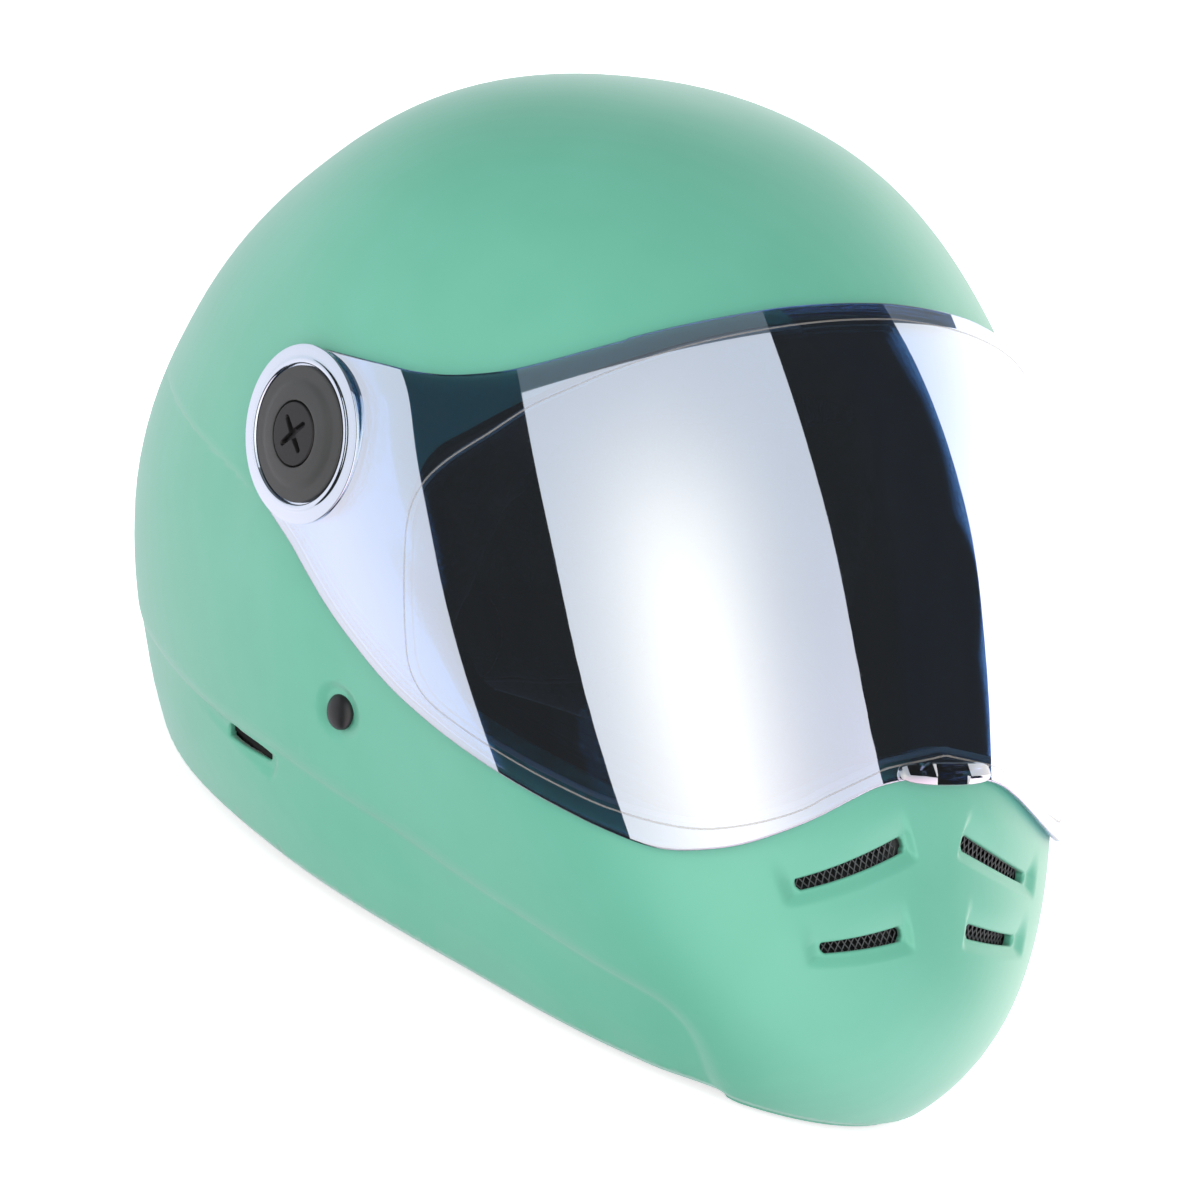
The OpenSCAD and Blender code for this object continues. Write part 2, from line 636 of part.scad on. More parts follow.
// Middle line of the webbing in front view, laid out for the left side: x and z of each bend
strap_top_x = rivet_washer_x - 0.1 - strap_t / 2;
bar_x = 69;
bar_z = -120;
bar_half = 2.2;
function strap_at(z) = [side_x(rivet_y - strap_w / 2, z, shell_inside + 3) - strap_t, z];
strap_drop = [[strap_top_x, rivet_z + 10], [strap_top_x, rivet_z - 6], strap_at(rivet_z - 14),
    strap_at(rivet_z - 24), strap_at(rivet_z - 33), [bar_x + 14, bar_z + 3],
    [bar_x + bar_half, bar_z + ring_rod_r + strap_t / 2]];
function heading(p, i) = let (d = p[min(i + 1, len(p) - 1)] - p[max(i - 1, 0)]) d / norm(d);
function beside(p, i, d) = let (t = heading(p, i)) p[i] + d * [-t[1], t[0]];
// A band along a path in front view, centred across on y
module band(path, wide, thick) {
    translate([0, wide / 2, 0]) rotate([90, 0, 0]) linear_extrude(wide) polygon(concat(
        [for (i = [0 : len(path) - 1]) beside(path, i, thick / 2)],
        [for (i = [len(path) - 1 : -1 : 0]) beside(path, i, -thick / 2)]));
}
// Room for the strap and its rivet in the foam
module strap_channel(side) {
    for_side(side) translate([0, rivet_y, 0]) {
        band(strap_drop, strap_w + 4, strap_t + 4);
        translate([rivet_tail_x - 3, 0, rivet_z]) rotate([0, 90, 0]) cylinder(h = 40, r = rivet_r + 2, $fn = 32);
    }
}
module rivet_hole() {
    translate([strap_top_x - strap_t, 0, rivet_z]) rotate([0, 90, 0])
        cylinder(h = 2 * strap_t, r = rivet_shank_r + 0.1, $fn = 32);
}
loop_r = ring_rod_r + turn_fit + 1.2;
// Right strap, ending in the stitched loop that holds both D-rings
module chin_strap_right() {
    color("black") from_pivot() for_side(RIGHT) translate([0, rivet_y, 0]) difference() {
        union() {
            band(strap_drop, strap_w, strap_t);
            for (x = [-bar_half, bar_half]) translate([bar_x + x, strap_w / 2, bar_z]) rotate([90, 0, 0])
                cylinder(h = strap_w, r = loop_r, $fn = 48);
            translate([bar_x, 0, bar_z]) cube([2 * bar_half, strap_w, 2 * loop_r], center = true);
        }
        for (x = [-bar_half, bar_half]) translate([bar_x + x, strap_w / 2 + 1, bar_z]) rotate([90, 0, 0])
            cylinder(h = strap_w + 2, r = ring_rod_r + turn_fit, $fn = 48);
        rivet_hole();
    }
}
// Left strap, its loose end folded under and snapped
fold_gap = 3.4;
fold_z = bar_z + 2.5;
fold_low = fold_z - fold_gap - strap_t;
strap_fold = concat([for (i = [0 : len(strap_drop) - 2]) strap_drop[i]],
    [[75, fold_z], [56, fold_z], [51, fold_z - 0.8], [49, (fold_z + fold_low) / 2], [51, fold_low + 0.8],
    [56, fold_low], [80, fold_low]]);
snap_x = 66;
snap_r = 4;
snap_pin_r = 1.5;
snap_under = fold_low - strap_t / 2;
module chin_strap_left() {
    color("black") from_pivot() translate([0, rivet_y, 0]) difference() {
        band(strap_fold, strap_w, strap_t);
        rivet_hole();
        translate([snap_x, 0, snap_under - 2]) cylinder(h = strap_t + 3, r = snap_pin_r + 0.1, $fn = 32);
    }
}
// Snap between the two layers, on the upper one
module snap_stud() {
    color("silver") from_pivot() translate([snap_x, rivet_y, snap_under + strap_t + 0.7])
        cylinder(h = fold_gap - 0.8, r = snap_r, $fn = 48);
}
// Domed cap under the lower layer, its pin through the webbing
module snap_cap() {
    color("black") from_pivot() translate([snap_x, rivet_y, snap_under])
        rotate_extrude($fn = 64) polygon([[0, -1.6], [snap_r + 1, -1.2], [snap_r + 1.8, -0.4],
            [snap_r + 1.8, -0.1], [snap_pin_r, -0.1], [snap_pin_r, strap_t + 0.6], [0, strap_t + 0.6]]);
}
// D-ring hanging from its bar, x away from the loop's middle
module d_ring(x) {
    half = strap_w / 2 + 2;
    color("silver") from_pivot() translate([-bar_x + x, rivet_y, bar_z]) {
        rotate([90, 0, 0]) cylinder(h = 2 * half, r = ring_rod_r, center = true, $fn = 48);
        for (y = [-half, half]) translate([0, y, 0]) sphere(ring_rod_r + 0.2, $fn = 32);
        rotate([0, 90, 0]) rotate([0, 0, -90]) rotate_extrude(angle = 180, $fn = 72)
            translate([half, 0]) circle(ring_rod_r, $fn = 24);
    }
}

outer_shell();
crown_liner();
chin_liner();
eye_port_gasket();
rim_trim();
crown_pad();
brow_pad();
cheek_pad(RIGHT);  // cheek_pad_right
cheek_pad(LEFT);  // cheek_pad_left
neck_roll();
breath_guard();
chin_mesh(RIGHT);  // chin_mesh_right
chin_mesh(LEFT);  // chin_mesh_left
ear_vent_mesh(RIGHT);  // ear_vent_mesh_right
ear_vent_mesh(LEFT);  // ear_vent_mesh_left
pivot_base(RIGHT);  // pivot_base_right
pivot_base(LEFT);  // pivot_base_left
pivot_nut(RIGHT);  // pivot_nut_right
pivot_nut(LEFT);  // pivot_nut_left
pivot_washer(RIGHT);  // pivot_washer_right
pivot_washer(LEFT);  // pivot_washer_left
pivot_cap(RIGHT);  // pivot_cap_right
pivot_cap(LEFT);  // pivot_cap_left
strap_rivet(RIGHT);  // strap_rivet_right
strap_rivet(LEFT);  // strap_rivet_left
rivet_washer(RIGHT);  // rivet_washer_right
rivet_washer(LEFT);  // rivet_washer_left
chin_strap_right();
chin_strap_left();
snap_stud();
snap_cap();
visor_pane();
anti_fog_lens();
lens_seal();
visor_tab();
visor_plate(RIGHT);  // visor_plate_right
visor_plate(LEFT);  // visor_plate_left
pivot_screw(RIGHT);  // pivot_screw_right
pivot_screw(LEFT);  // pivot_screw_left
d_ring(-bar_half);  // d_ring_outer
d_ring(bar_half);  // d_ring_inner
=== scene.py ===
"""Full face bike helmet with a mirrored flip-up visor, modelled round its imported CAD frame."""

import json
import logging
import math
from dataclasses import dataclass
from enum import Enum
from typing import Callable, Iterable, Optional, Sequence

import bmesh
import bpy
import numpy as np
from mathutils import Matrix, Vector
from mathutils.bvhtree import BVHTree

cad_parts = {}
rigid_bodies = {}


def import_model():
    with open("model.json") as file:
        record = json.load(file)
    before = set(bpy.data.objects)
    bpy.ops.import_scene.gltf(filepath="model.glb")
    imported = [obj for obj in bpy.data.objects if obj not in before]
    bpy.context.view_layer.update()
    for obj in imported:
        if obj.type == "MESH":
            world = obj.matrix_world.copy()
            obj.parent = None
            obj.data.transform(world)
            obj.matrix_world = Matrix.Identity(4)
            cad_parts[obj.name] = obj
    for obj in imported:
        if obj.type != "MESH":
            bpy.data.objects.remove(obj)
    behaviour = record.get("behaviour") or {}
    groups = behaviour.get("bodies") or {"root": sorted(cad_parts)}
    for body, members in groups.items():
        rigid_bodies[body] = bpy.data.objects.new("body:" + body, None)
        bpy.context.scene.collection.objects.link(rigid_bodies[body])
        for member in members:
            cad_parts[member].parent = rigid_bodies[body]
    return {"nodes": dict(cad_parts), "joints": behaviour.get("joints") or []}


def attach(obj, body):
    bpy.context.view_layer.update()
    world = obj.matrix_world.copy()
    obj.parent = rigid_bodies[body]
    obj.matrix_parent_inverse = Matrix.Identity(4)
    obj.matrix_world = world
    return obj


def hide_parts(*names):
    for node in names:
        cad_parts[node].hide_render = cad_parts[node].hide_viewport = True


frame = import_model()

LOG = logging.getLogger("helmet")
Array = np.ndarray
MM = 0.001
WELD = 0.002                # mm

# Measures, in mm from the pivot

HALF_W = 120.0
RIM_Z = -138.0
SHELL_WALL = 3.0
PANE_GAP = 1.6
PANE_WALL = 1.8
REACHES = ((-90, 201), (-60, 211), (-45, 226), (-30, 230), (-15, 184), (0, 154), (15, 138),
           (30, 128.5), (60, 115.5), (90, 112), (120, 115.5), (150, 120), (180, 139.5),
           (210, 173), (240, 190))
SQUARENESS = (2.22, 1.91, 2.26, 2.08, 2.24, 2.36, 2.39, 2.27)


class Body(Enum):
    """The frame's bodies that new pieces ride on."""

    HELMET = "helmet"
    VISOR = "visor"
    SCREW_RIGHT = "screw_right"
    SCREW_LEFT = "screw_left"


class Side(Enum):
    """The wearer's sides, as the sign of X."""

    RIGHT = -1
    LEFT = 1

    @property
    def word(self) -> str:
        """The side's name in lower case."""
        return self.name.lower()


def smooth(x: Array, lo: float, hi: float) -> Array:
    """Smooth step from 0 at lo to 1 at hi: 3t^2 - 2t^3 with t the clamped fraction."""
    t = np.clip((x - lo) / (hi - lo), 0, 1)
    return t * t * (3 - 2 * t)


def unit(v: Array) -> Array:
    """Rows scaled to length 1."""
    return v / np.maximum(np.linalg.norm(v, axis=-1, keepdims=True), 1e-12)


def lengths(path: Array) -> Array:
    """Distance along a path at each of its points."""
    return np.concatenate([[0], np.cumsum(np.linalg.norm(np.diff(path, axis=0), axis=1))])


def side_distance(p: Array, place: Sequence[float] = (0.0, 0.0)) -> Array:
    """Distance in side view from a place given by y and z, the pivot by default."""
    return np.hypot(p[:, 1] - place[0], p[:, 2] - place[1])


def rounded_box(x: Array, y: Array, half_x: float, half_y: Array | float,
                corner: float) -> Array:
    """Distance from the outline of a box about 0 with rounded corners, negative inside.

    Args:
        x: places across.
        y: places up.
        half_x: half width.
        half_y: half height.
        corner: radius of the corners.

    Returns:
        The distance at each place.
    """
    qx, qy = np.abs(x) - half_x + corner, np.abs(y) - half_y + corner
    out = np.hypot(np.maximum(qx, 0), np.maximum(qy, 0)) + np.minimum(np.maximum(qx, qy), 0)
    return out - corner


def grid_quads(rows: int, cols: int, closed: bool = False) -> Array:
    """Quads over closed rows of points; the last row joins the first where closed is set."""
    i, j = np.meshgrid(np.arange(rows if closed else rows - 1), np.arange(cols), indexing="ij")
    i2, j2 = (i + 1) % rows, (j + 1) % cols
    return np.stack([i * cols + j, i * cols + j2, i2 * cols + j2, i2 * cols + j], -1).reshape(-1, 4)


BACKWARDS = [0, 3, 2, 1]    # a quad's corners the other way round


# The skin


class Skin:
    """The helmet's outer form.

    In each half plane through the pivot axis, at angle a up from straight ahead, the section is
    a superellipse of half width W and reach R(a) with exponent n(a). R and n are smooth
    periodic curves through a few knots. A point of the left half is named by a place d in the
    unit disk: its direction is a, and its length is the section angle from the pivot axis in
    quarter turns, so the middle plane is the disk's edge.
    """

    def __init__(self, blur: float = 0.0) -> None:
        """Takes the knots, and how many degrees the curves are averaged over."""
        self._offsets = np.linspace(-1.7, 1.7, 13) * blur if blur else np.zeros(1)
        self._weights = np.exp(-np.linspace(-1.7, 1.7, len(self._offsets)) ** 2)
        self._weights /= self._weights.sum()
        self._a = np.array([k[0] for k in REACHES], float)
        self._r = np.array([k[1] for k in REACHES], float)
        self._n_a = -90.0 + 45.0 * np.arange(8)
        self._n = np.array(SQUARENESS, float)

    @staticmethod
    def _curve(knots: Array, values: Array, a: Array) -> Array:
        """Periodic cubic Hermite with slopes (v[i+1] - v[i-1]) / (a[i+1] - a[i-1])."""
        k = np.concatenate([knots[-2:] - 360, knots, knots[:3] + 360])
        v = np.concatenate([values[-2:], values, values[:3]])
        m = np.zeros_like(v)
        m[1:-1] = (v[2:] - v[:-2]) / (k[2:] - k[:-2])
        w = (a + 90.0) % 360.0 - 90.0
        i = np.clip(np.searchsorted(k, w, side="right") - 1, 1, len(k) - 3)
        span = k[i + 1] - k[i]
        u = (w - k[i]) / span
        return ((2 * u**3 - 3 * u**2 + 1) * v[i] + (u**3 - 2 * u**2 + u) * span * m[i]
                + (3 * u**2 - 2 * u**3) * v[i + 1] + (u**3 - u**2) * span * m[i + 1])

    def reach(self, a: Array) -> Array:
        """R at angle a in degrees."""
        return sum(w * self._curve(self._a, self._r, np.asarray(a, float) + o)
                   for w, o in zip(self._weights, self._offsets))

    def power(self, a: Array) -> Array:
        """n at angle a in degrees."""
        return sum(w * self._curve(self._n_a, self._n, np.asarray(a, float) + o)
                   for w, o in zip(self._weights, self._offsets))

    def point(self, d: Array, out: Array | float = 0.0) -> Array:
        """Points at disk places d, moved outwards by out millimetres.

        Args:
            d: places in the unit disk.
            out: distance outside the skin in mm.

        Returns:
            Points of the left half, in mm from the pivot.
        """
        d = np.asarray(d, float)
        a = np.degrees(np.arctan2(d[:, 1], -d[:, 0]))
        size = np.hypot(d[:, 0], d[:, 1])
        phi = size * (math.pi / 2)
        n = self.power(a)
        width, reach = HALF_W + out, self.reach(a) + out
        c, s = np.cos(phi), np.sin(phi)
        rho = ((np.abs(c) / width) ** n + (np.abs(s) / reach) ** n) ** (-1 / n)
        way = d / np.maximum(size, 1e-12)[:, None]
        r = rho * s
        return np.stack([rho * c, way[:, 0] * r, way[:, 1] * r], 1)

    def front(self, x: Array, a: Array, out: float = 0.0) -> Array:
        """Points at x from the middle plane and angle a: r = R (1 - (|x| / W)^n)^(1/n).

        Args:
            x: distances from the middle plane.
            a: angles up from straight ahead.
            out: distance outside the skin in mm.

        Returns:
            Points in mm from the pivot.
        """
        n = self.power(a)
        q = np.clip(1 - (np.abs(x) / (HALF_W + out)) ** n, 0, 1)
        r, t = (self.reach(a) + out) * q ** (1 / n), np.radians(a)
        return np.stack([x + 0 * r, -r * np.cos(t), r * np.sin(t)], -1)

    def side_x(self, y: Array, z: Array, out: float = 0.0) -> Array:
        """Distance of the skin from the middle plane at a place in side view."""
        y, z = np.asarray(y, float), np.asarray(z, float)
        a = np.degrees(np.arctan2(z, -y))
        q = np.hypot(y, z) / (self.reach(a) + out)
        n = self.power(a)
        return (HALF_W + out) * np.clip(1 - np.minimum(q, 1) ** n, 0, 1) ** (1 / n)

    def unrolled(self, p: Array) -> Array:
        """Side view with the curved-away front pulled out flat.

        The distance from the pivot axis gains what the surface has lost in width, so outlines
        stay well drawn round the front too.
        """
        r = np.hypot(p[:, 1], p[:, 2])
        k = (r + HALF_W - np.abs(p[:, 0])) / np.maximum(r, 1e-9)
        return p[:, 1:] * k[:, None]

    def unrolled_side(self, pairs: Iterable[Sequence[float]]) -> Array:
        """Unrolled places of points given by y and z in side view."""
        q = np.array(list(pairs), float)
        x = self.side_x(q[:, 0], q[:, 1])
        return self.unrolled(np.column_stack([x, q]))

    def unrolled_front(self, pairs: Iterable[Sequence[float]]) -> Array:
        """Unrolled places of points given by x and angle up from straight ahead."""
        q = np.array(list(pairs), float)
        return self.unrolled(self.front(np.abs(q[:, 0]), q[:, 1]))

    def on_unrolled(self, q: Array, out: Array | float = 0.0) -> Array:
        """Points of the left half whose unrolled places are q, by halving the section angle."""
        q = np.asarray(q, float)
        size = np.hypot(q[:, 0], q[:, 1])
        way = q / np.maximum(size, 1e-9)[:, None]
        lo, hi = np.zeros(len(q)), np.ones(len(q))
        for _ in range(40):
            t = (lo + hi) / 2
            p = self.point(way * t[:, None])
            low = np.hypot(p[:, 1], p[:, 2]) + HALF_W - p[:, 0] < size
            lo, hi = np.where(low, t, lo), np.where(low, hi, t)
        return self.point(way * t[:, None], out)

    def on_left(self, q: Array) -> Array:
        """Whether unrolled places lie on the left half or the middle plane."""
        a = np.degrees(np.arctan2(q[:, 1], -q[:, 0]))
        return np.hypot(q[:, 0], q[:, 1]) <= self.reach(a) + HALF_W + 1e-6

    def front_point(self, x: Array, z: Array, out: float = 0.0) -> Array:
        """Points of the front of the skin at x and z, found by halving the angle's range."""
        x, z = np.broadcast_arrays(np.asarray(x, float), np.asarray(z, float))
        lo, hi = np.full(x.shape, -75.0), np.full(x.shape, 60.0)
        for _ in range(40):
            a = (lo + hi) / 2
            p = self.front(x, a, out)
            low = p[..., 2] < z
            lo, hi = np.where(low, a, lo), np.where(low, hi, a)
        return np.stack([x, p[..., 1], z], -1)


SKIN = Skin()
POLISHED = Skin(12.0)


def spline(points: Array, closed: bool, steps: int = 8) -> Array:
    """Catmull-Rom curve through the points.

    Args:
        points: what it passes through.
        closed: joins its end to its start.
        steps: pieces from each point to the next.

    Returns:
        Points along the curve.
    """
    p = np.asarray(points, float)
    if closed:
        p = np.concatenate([p[-1:], p, p[:2]])
    else:
        p = np.concatenate([2 * p[:1] - p[1:2], p, 2 * p[-1:] - p[-2:-1]])
    u = np.linspace(0, 1, steps, endpoint=False)[:, None, None]
    a, b, c, d = p[:-3], p[1:-2], p[2:-1], p[3:]
    out = 0.5 * (2 * b + (c - a) * u + (2 * a - 5 * b + 4 * c - d) * u**2
                 + (3 * b - 3 * c + d - a) * u**3)
    out = out.transpose(1, 0, 2).reshape(-1, p.shape[1])
    return out if closed else np.concatenate([out, p[-2:-1]])


class Outline:
    """A curve in the plane with distances to it."""

    def __init__(self, points: Array, closed: bool = True) -> None:
        """Keeps both ends of each of the curve's straight pieces."""
        full = np.asarray(points, float)
        self.a = full if closed else full[:-1]
        self.b = np.roll(full, -1, 0) if closed else full[1:]
        self.lo, self.hi = full.min(0), full.max(0)

    def distance(self, q: Array, far: float = 40.0) -> Array:
        """Distance to the curve, exact up to far and at least far beyond it."""
        out = np.full(len(q), far)
        near = np.all((q > self.lo - far) & (q < self.hi + far), 1)
        pts = q[near]
        best = np.full(len(pts), np.inf)
        d = self.b - self.a
        dd = np.maximum((d * d).sum(1), 1e-12)
        for i in range(0, len(pts), 4096):
            w = pts[i:i + 4096, None, :] - self.a[None]
            t = np.clip((w * d).sum(2) / dd, 0, 1)
            best[i:i + 4096] = np.sqrt(((w - t[..., None] * d) ** 2).sum(2).min(1))
        out[near] = best
        return out

    def inside(self, q: Array) -> Array:
        """Whether each place is inside the closed curve, by counting crossings."""
        out = np.zeros(len(q), bool)
        near = np.all((q > self.lo) & (q < self.hi), 1)
        pts = q[near]
        res = np.zeros(len(pts), bool)
        for i in range(0, len(pts), 4096):
            x, y = pts[i:i + 4096, 0, None], pts[i:i + 4096, 1, None]
            cross = (self.a[:, 1] > y) != (self.b[:, 1] > y)
            rise = self.b[:, 1] - self.a[:, 1]
            run = (self.b[:, 0] - self.a[:, 0]) * (y - self.a[:, 1])
            at = self.a[:, 0] + run / np.where(rise == 0, 1, rise)
            res[i:i + 4096] = (cross & (x < at)).sum(1) % 2 == 1
        out[near] = res
        return out

    def signed(self, q: Array, far: float = 40.0) -> Array:
        """Distance, negative inside."""
        return self.distance(q, far) * np.where(self.inside(q), -1, 1)


def region(parts: Sequence[Array], steps: int, *beyond: Sequence) -> Outline:
    """What lies inside a smooth curve through the parts, closed by the places beyond it."""
    return Outline(np.concatenate([spline(np.concatenate(parts), False, steps), *beyond]))


# Outlines in unrolled side view. Each closes well beyond the middle plane.

PORT = region([
    SKIN.unrolled_side([(-93, 79), (-87, 70), (-80, 60), (-73, 51), (-67, 42), (-62, 35),
                        (-55, 25), (-49, 17), (-47, 9), (-48, -8), (-53, -24), (-60, -37),
                        (-70, -43), (-90, -47), (-124, -50), (-145, -52.5), (-156, -50.5)]),
    SKIN.unrolled_front([(46, -12.6), (32, -10.2), (16, -9.1), (0, -8.9)])],
    6, [(-420, -66), (-420, 330)], SKIN.unrolled_front([(0, 40.2), (20, 40.2)]))
PANE_END_R = 27.0
PANE_END = np.radians(np.arange(100.0, 261.0, 10.0))
PANE = region([
    SKIN.unrolled_front([(0, 42.4), (18, 42.2), (35, 41.9), (50, 41.3), (65, 40.6), (78, 39.7)]),
    SKIN.unrolled_side([(-74, 61), (-68, 54.5), (-61.5, 48.2), (-54, 42.4), (-43, 36.6),
                        (-32, 32.8), (-20, 30.2)]),
    PANE_END_R * np.column_stack([-np.cos(PANE_END), np.sin(PANE_END)]) * 1.001,
    SKIN.unrolled_side([(-7, -30.5), (-17, -36), (-27, -41.4), (-38, -46.2), (-56, -52.6),
                        (-73, -56), (-89, -58), (-105, -59.4), (-124, -60.6)]),
    SKIN.unrolled_front([(90, -24.7), (80, -22.5), (70, -20.1), (60, -17.9), (46, -14.9),
                         (32, -12.1), (24, -10.9), (14, -10.2), (0, -10.1)])],
    5, [(-450, -78), (-450, 400)])
SEAL_LINE = region([
    SKIN.unrolled_front([(0, 40.0), (20, 39.6), (34, 39.1), (46, 38.5), (62, 37.4), (71, 36.4),
                         (78, 35.3), (85.5, 33.8), (91, 32.2), (99.2, 29.1)]),
    SKIN.unrolled_side([(-62, 27), (-54.5, 15), (-50.6, 6), (-50.2, -4), (-54, -17), (-60.5, -34),
                        (-64, -42.6), (-69, -47.6), (-77, -50.6), (-99, -53), (-122, -54.6)]),
    SKIN.unrolled_front([(88, -22.2), (74, -19.4), (61, -16.8), (48, -14.2), (40, -12.4),
                         (27, -10.2), (20, -9.3), (0, -8.2)])], 5, [(-450, -64), (-450, 400)])
# The recessed band along the lower sides, from its sharp upper line down
BAND = region([SKIN.unrolled_side([
    (112, -103.5), (80, -103), (58, -102.6), (22, -101.8), (-6, -99.6), (-40, -100.8),
    (-75, -102.6), (-110, -105.4), (-138, -108.2), (-150, -109.3), (-156.5, -110.6),
    (-161.5, -114), (-164.4, -120), (-165, -131)])],
    6, SKIN.unrolled_side([(-165, -150)]), [(-160, -420), (160, -420), (260, -190)],
    SKIN.unrolled_side([(126, -103.8)]))
CREASE = Outline(spline(SKIN.unrolled_side([
    (114, -20.0), (100, -21.3), (86, -22.6), (80, -23), (60, -24.1), (42, -25), (30, -26),
    (14, -27.4)]), False, 6), False)


# Relief of the shell

CHIN_FRONT_Y = -120.0       # the chin vents' forms count only in front of this
BAND_DEPTH, BAND_ROLL = 1.5, 8.0
CREASE_DEPTH, CREASE_FALL = 0.9, 34.0
BEVEL_SLOPE = 0.5


@dataclass(frozen=True)
class ChinVent:
    """A chin vent in front view.

    Attributes:
        x: distance of the inner end from the middle plane.
        z: height of the inner end's middle.
        length: along the slot.
        drop: of the outer end.
        inner_h: half height at the inner end.
        outer_h: half height at the outer end.
        depth: of the scoop at the slot.
    """

    x: float
    z: float
    length: float
    drop: float
    inner_h: float
    outer_h: float
    depth: float

    def heading(self) -> tuple[float, float]:
        """The slot's direction by x and z."""
        size = math.hypot(self.length, self.drop)
        return self.length / size, -self.drop / size

    def local(self, p: Array) -> tuple[Array, Array]:
        """Place along the slot and height above its middle line."""
        cx, cz = self.heading()
        dx, dz = np.abs(p[:, 0]) - self.x, p[:, 2] - self.z
        return dx * cx + dz * cz, -dx * cz + dz * cx

    def half(self, along: Array) -> Array:
        """Half height of the slot at a place along it."""
        t = np.clip(along / self.length, 0, 1)
        return self.inner_h + (self.outer_h - self.inner_h) * t

    def slot(self, p: Array) -> Array:
        """Distance from the slot's outline, negative inside, its corners rounded."""
        along, up = self.local(p)
        mid = self.length / 2
        out = rounded_box(along - mid, up, mid, self.half(along), 1.5)
        return np.where(p[:, 1] < CHIN_FRONT_Y, out, 50.0)

    def scoop(self, p: Array) -> Array:
        """Depth of the scoop: ramps in from above, a ledge under the slot, then a steep lip."""
        along, up = self.local(p)
        h, ramp_h = self.half(along), 9.5
        down = np.clip((h + ramp_h - up) / ramp_h, 0, 1) ** 1.7
        lip = smooth(up, -h - 2.4, -h - 0.1)
        inner = smooth(along, -3.2, -0.2)
        outer = 1 - smooth(along, self.length + 0.3, self.length + 5.5)
        depth = self.depth * down * lip * inner * outer
        return np.where((p[:, 1] < CHIN_FRONT_Y) & (up < h + ramp_h), depth, 0.0)


CHIN_VENTS = (ChinVent(11.8, -50.1, 38.4, 15.7, 2.3, 1.6, 2.5),
              ChinVent(13.0, -73.4, 27.7, 6.8, 2.2, 1.6, 2.3))
EAR_SLOT = (-5.6, 18.4, -105.2, 2.0)    # y from and to, z, half height
RIVET = (-36.0, -73.0)                  # y and z of each strap rivet


def ear_slot(p: Array) -> Array:
    """Distance from the slot behind each ear, seen from the side, negative inside."""
    y0, y1, z, h = EAR_SLOT
    along = np.clip(p[:, 1], y0 + h, y1 - h)
    return np.hypot(p[:, 1] - along, p[:, 2] - z) - h


def ear_scoop(p: Array) -> Array:
    """A wedge that deepens forward under the side crease and ends in a rounded wall."""
    y, z = p[:, 1], p[:, 2]
    t = np.clip((46.0 - y) / 53.0, 0, 1)
    low = -104.2 - 5.6 * t
    side = smooth(z, low - 0.8, low + 1.8)
    bow = 0.06 * (z + 104) ** 2
    front = smooth(y, -11.0 + bow, -7.0 + bow)
    top = 1 - smooth(z, -103.0, -101.6)
    return 1.7 * t**1.1 * side * front * top


def rivet_seat(p: Array) -> Array:
    """Shallow countersink round each strap rivet."""
    return 1.2 * (1 - smooth(side_distance(p, RIVET), 5.6, 9.6))


def relief(p: Array) -> Array:
    """Depth of everything pressed into the shell at skin points p."""
    q = SKIN.unrolled(p)
    band = BAND.signed(q, 30.0)
    depth = np.zeros(len(p))
    for b in (band - 0.8, band, band + 0.8):
        roll = BAND_DEPTH * np.clip(1 - b / BAND_ROLL, 0, 1) ** 1.8
        depth += np.where(b > 0, roll, BAND_DEPTH - 0.9 * smooth(-b, 4.0, 26.0)) / 3
    depth = depth * (1 - smooth(p[:, 1], 70.0, 125.0))
    bevel_line = np.interp(p[:, 1], [-185, -107, 0, 51, 87, 110, 140, 170],
                           [-133.8, -133.4, -131.6, -132.6, -131.5, -130, -126, -122])
    depth = depth + BEVEL_SLOPE * np.clip(bevel_line - p[:, 2], 0, 30)
    line = CREASE.distance(q, 30.0)
    crease_z = np.interp(p[:, 1], [14, 30, 42, 60, 86, 114], [-27.4, -26, -25, -24.1, -22.6, -20])
    strength = smooth(p[:, 1], 12.0, 34.0) * (1 - smooth(p[:, 1], 78.0, 112.0))
    above = np.clip(1 - line / 4.0, 0, 1) ** 2
    fade = 1 - smooth(crease_z - p[:, 2], 0.0, CREASE_FALL)
    depth = depth + CREASE_DEPTH * strength * np.where(p[:, 2] > crease_z, above, fade)
    for vent in CHIN_VENTS:
        depth = depth + vent.scoop(p)
    return depth + ear_scoop(p) + rivet_seat(p)


# Surface patches


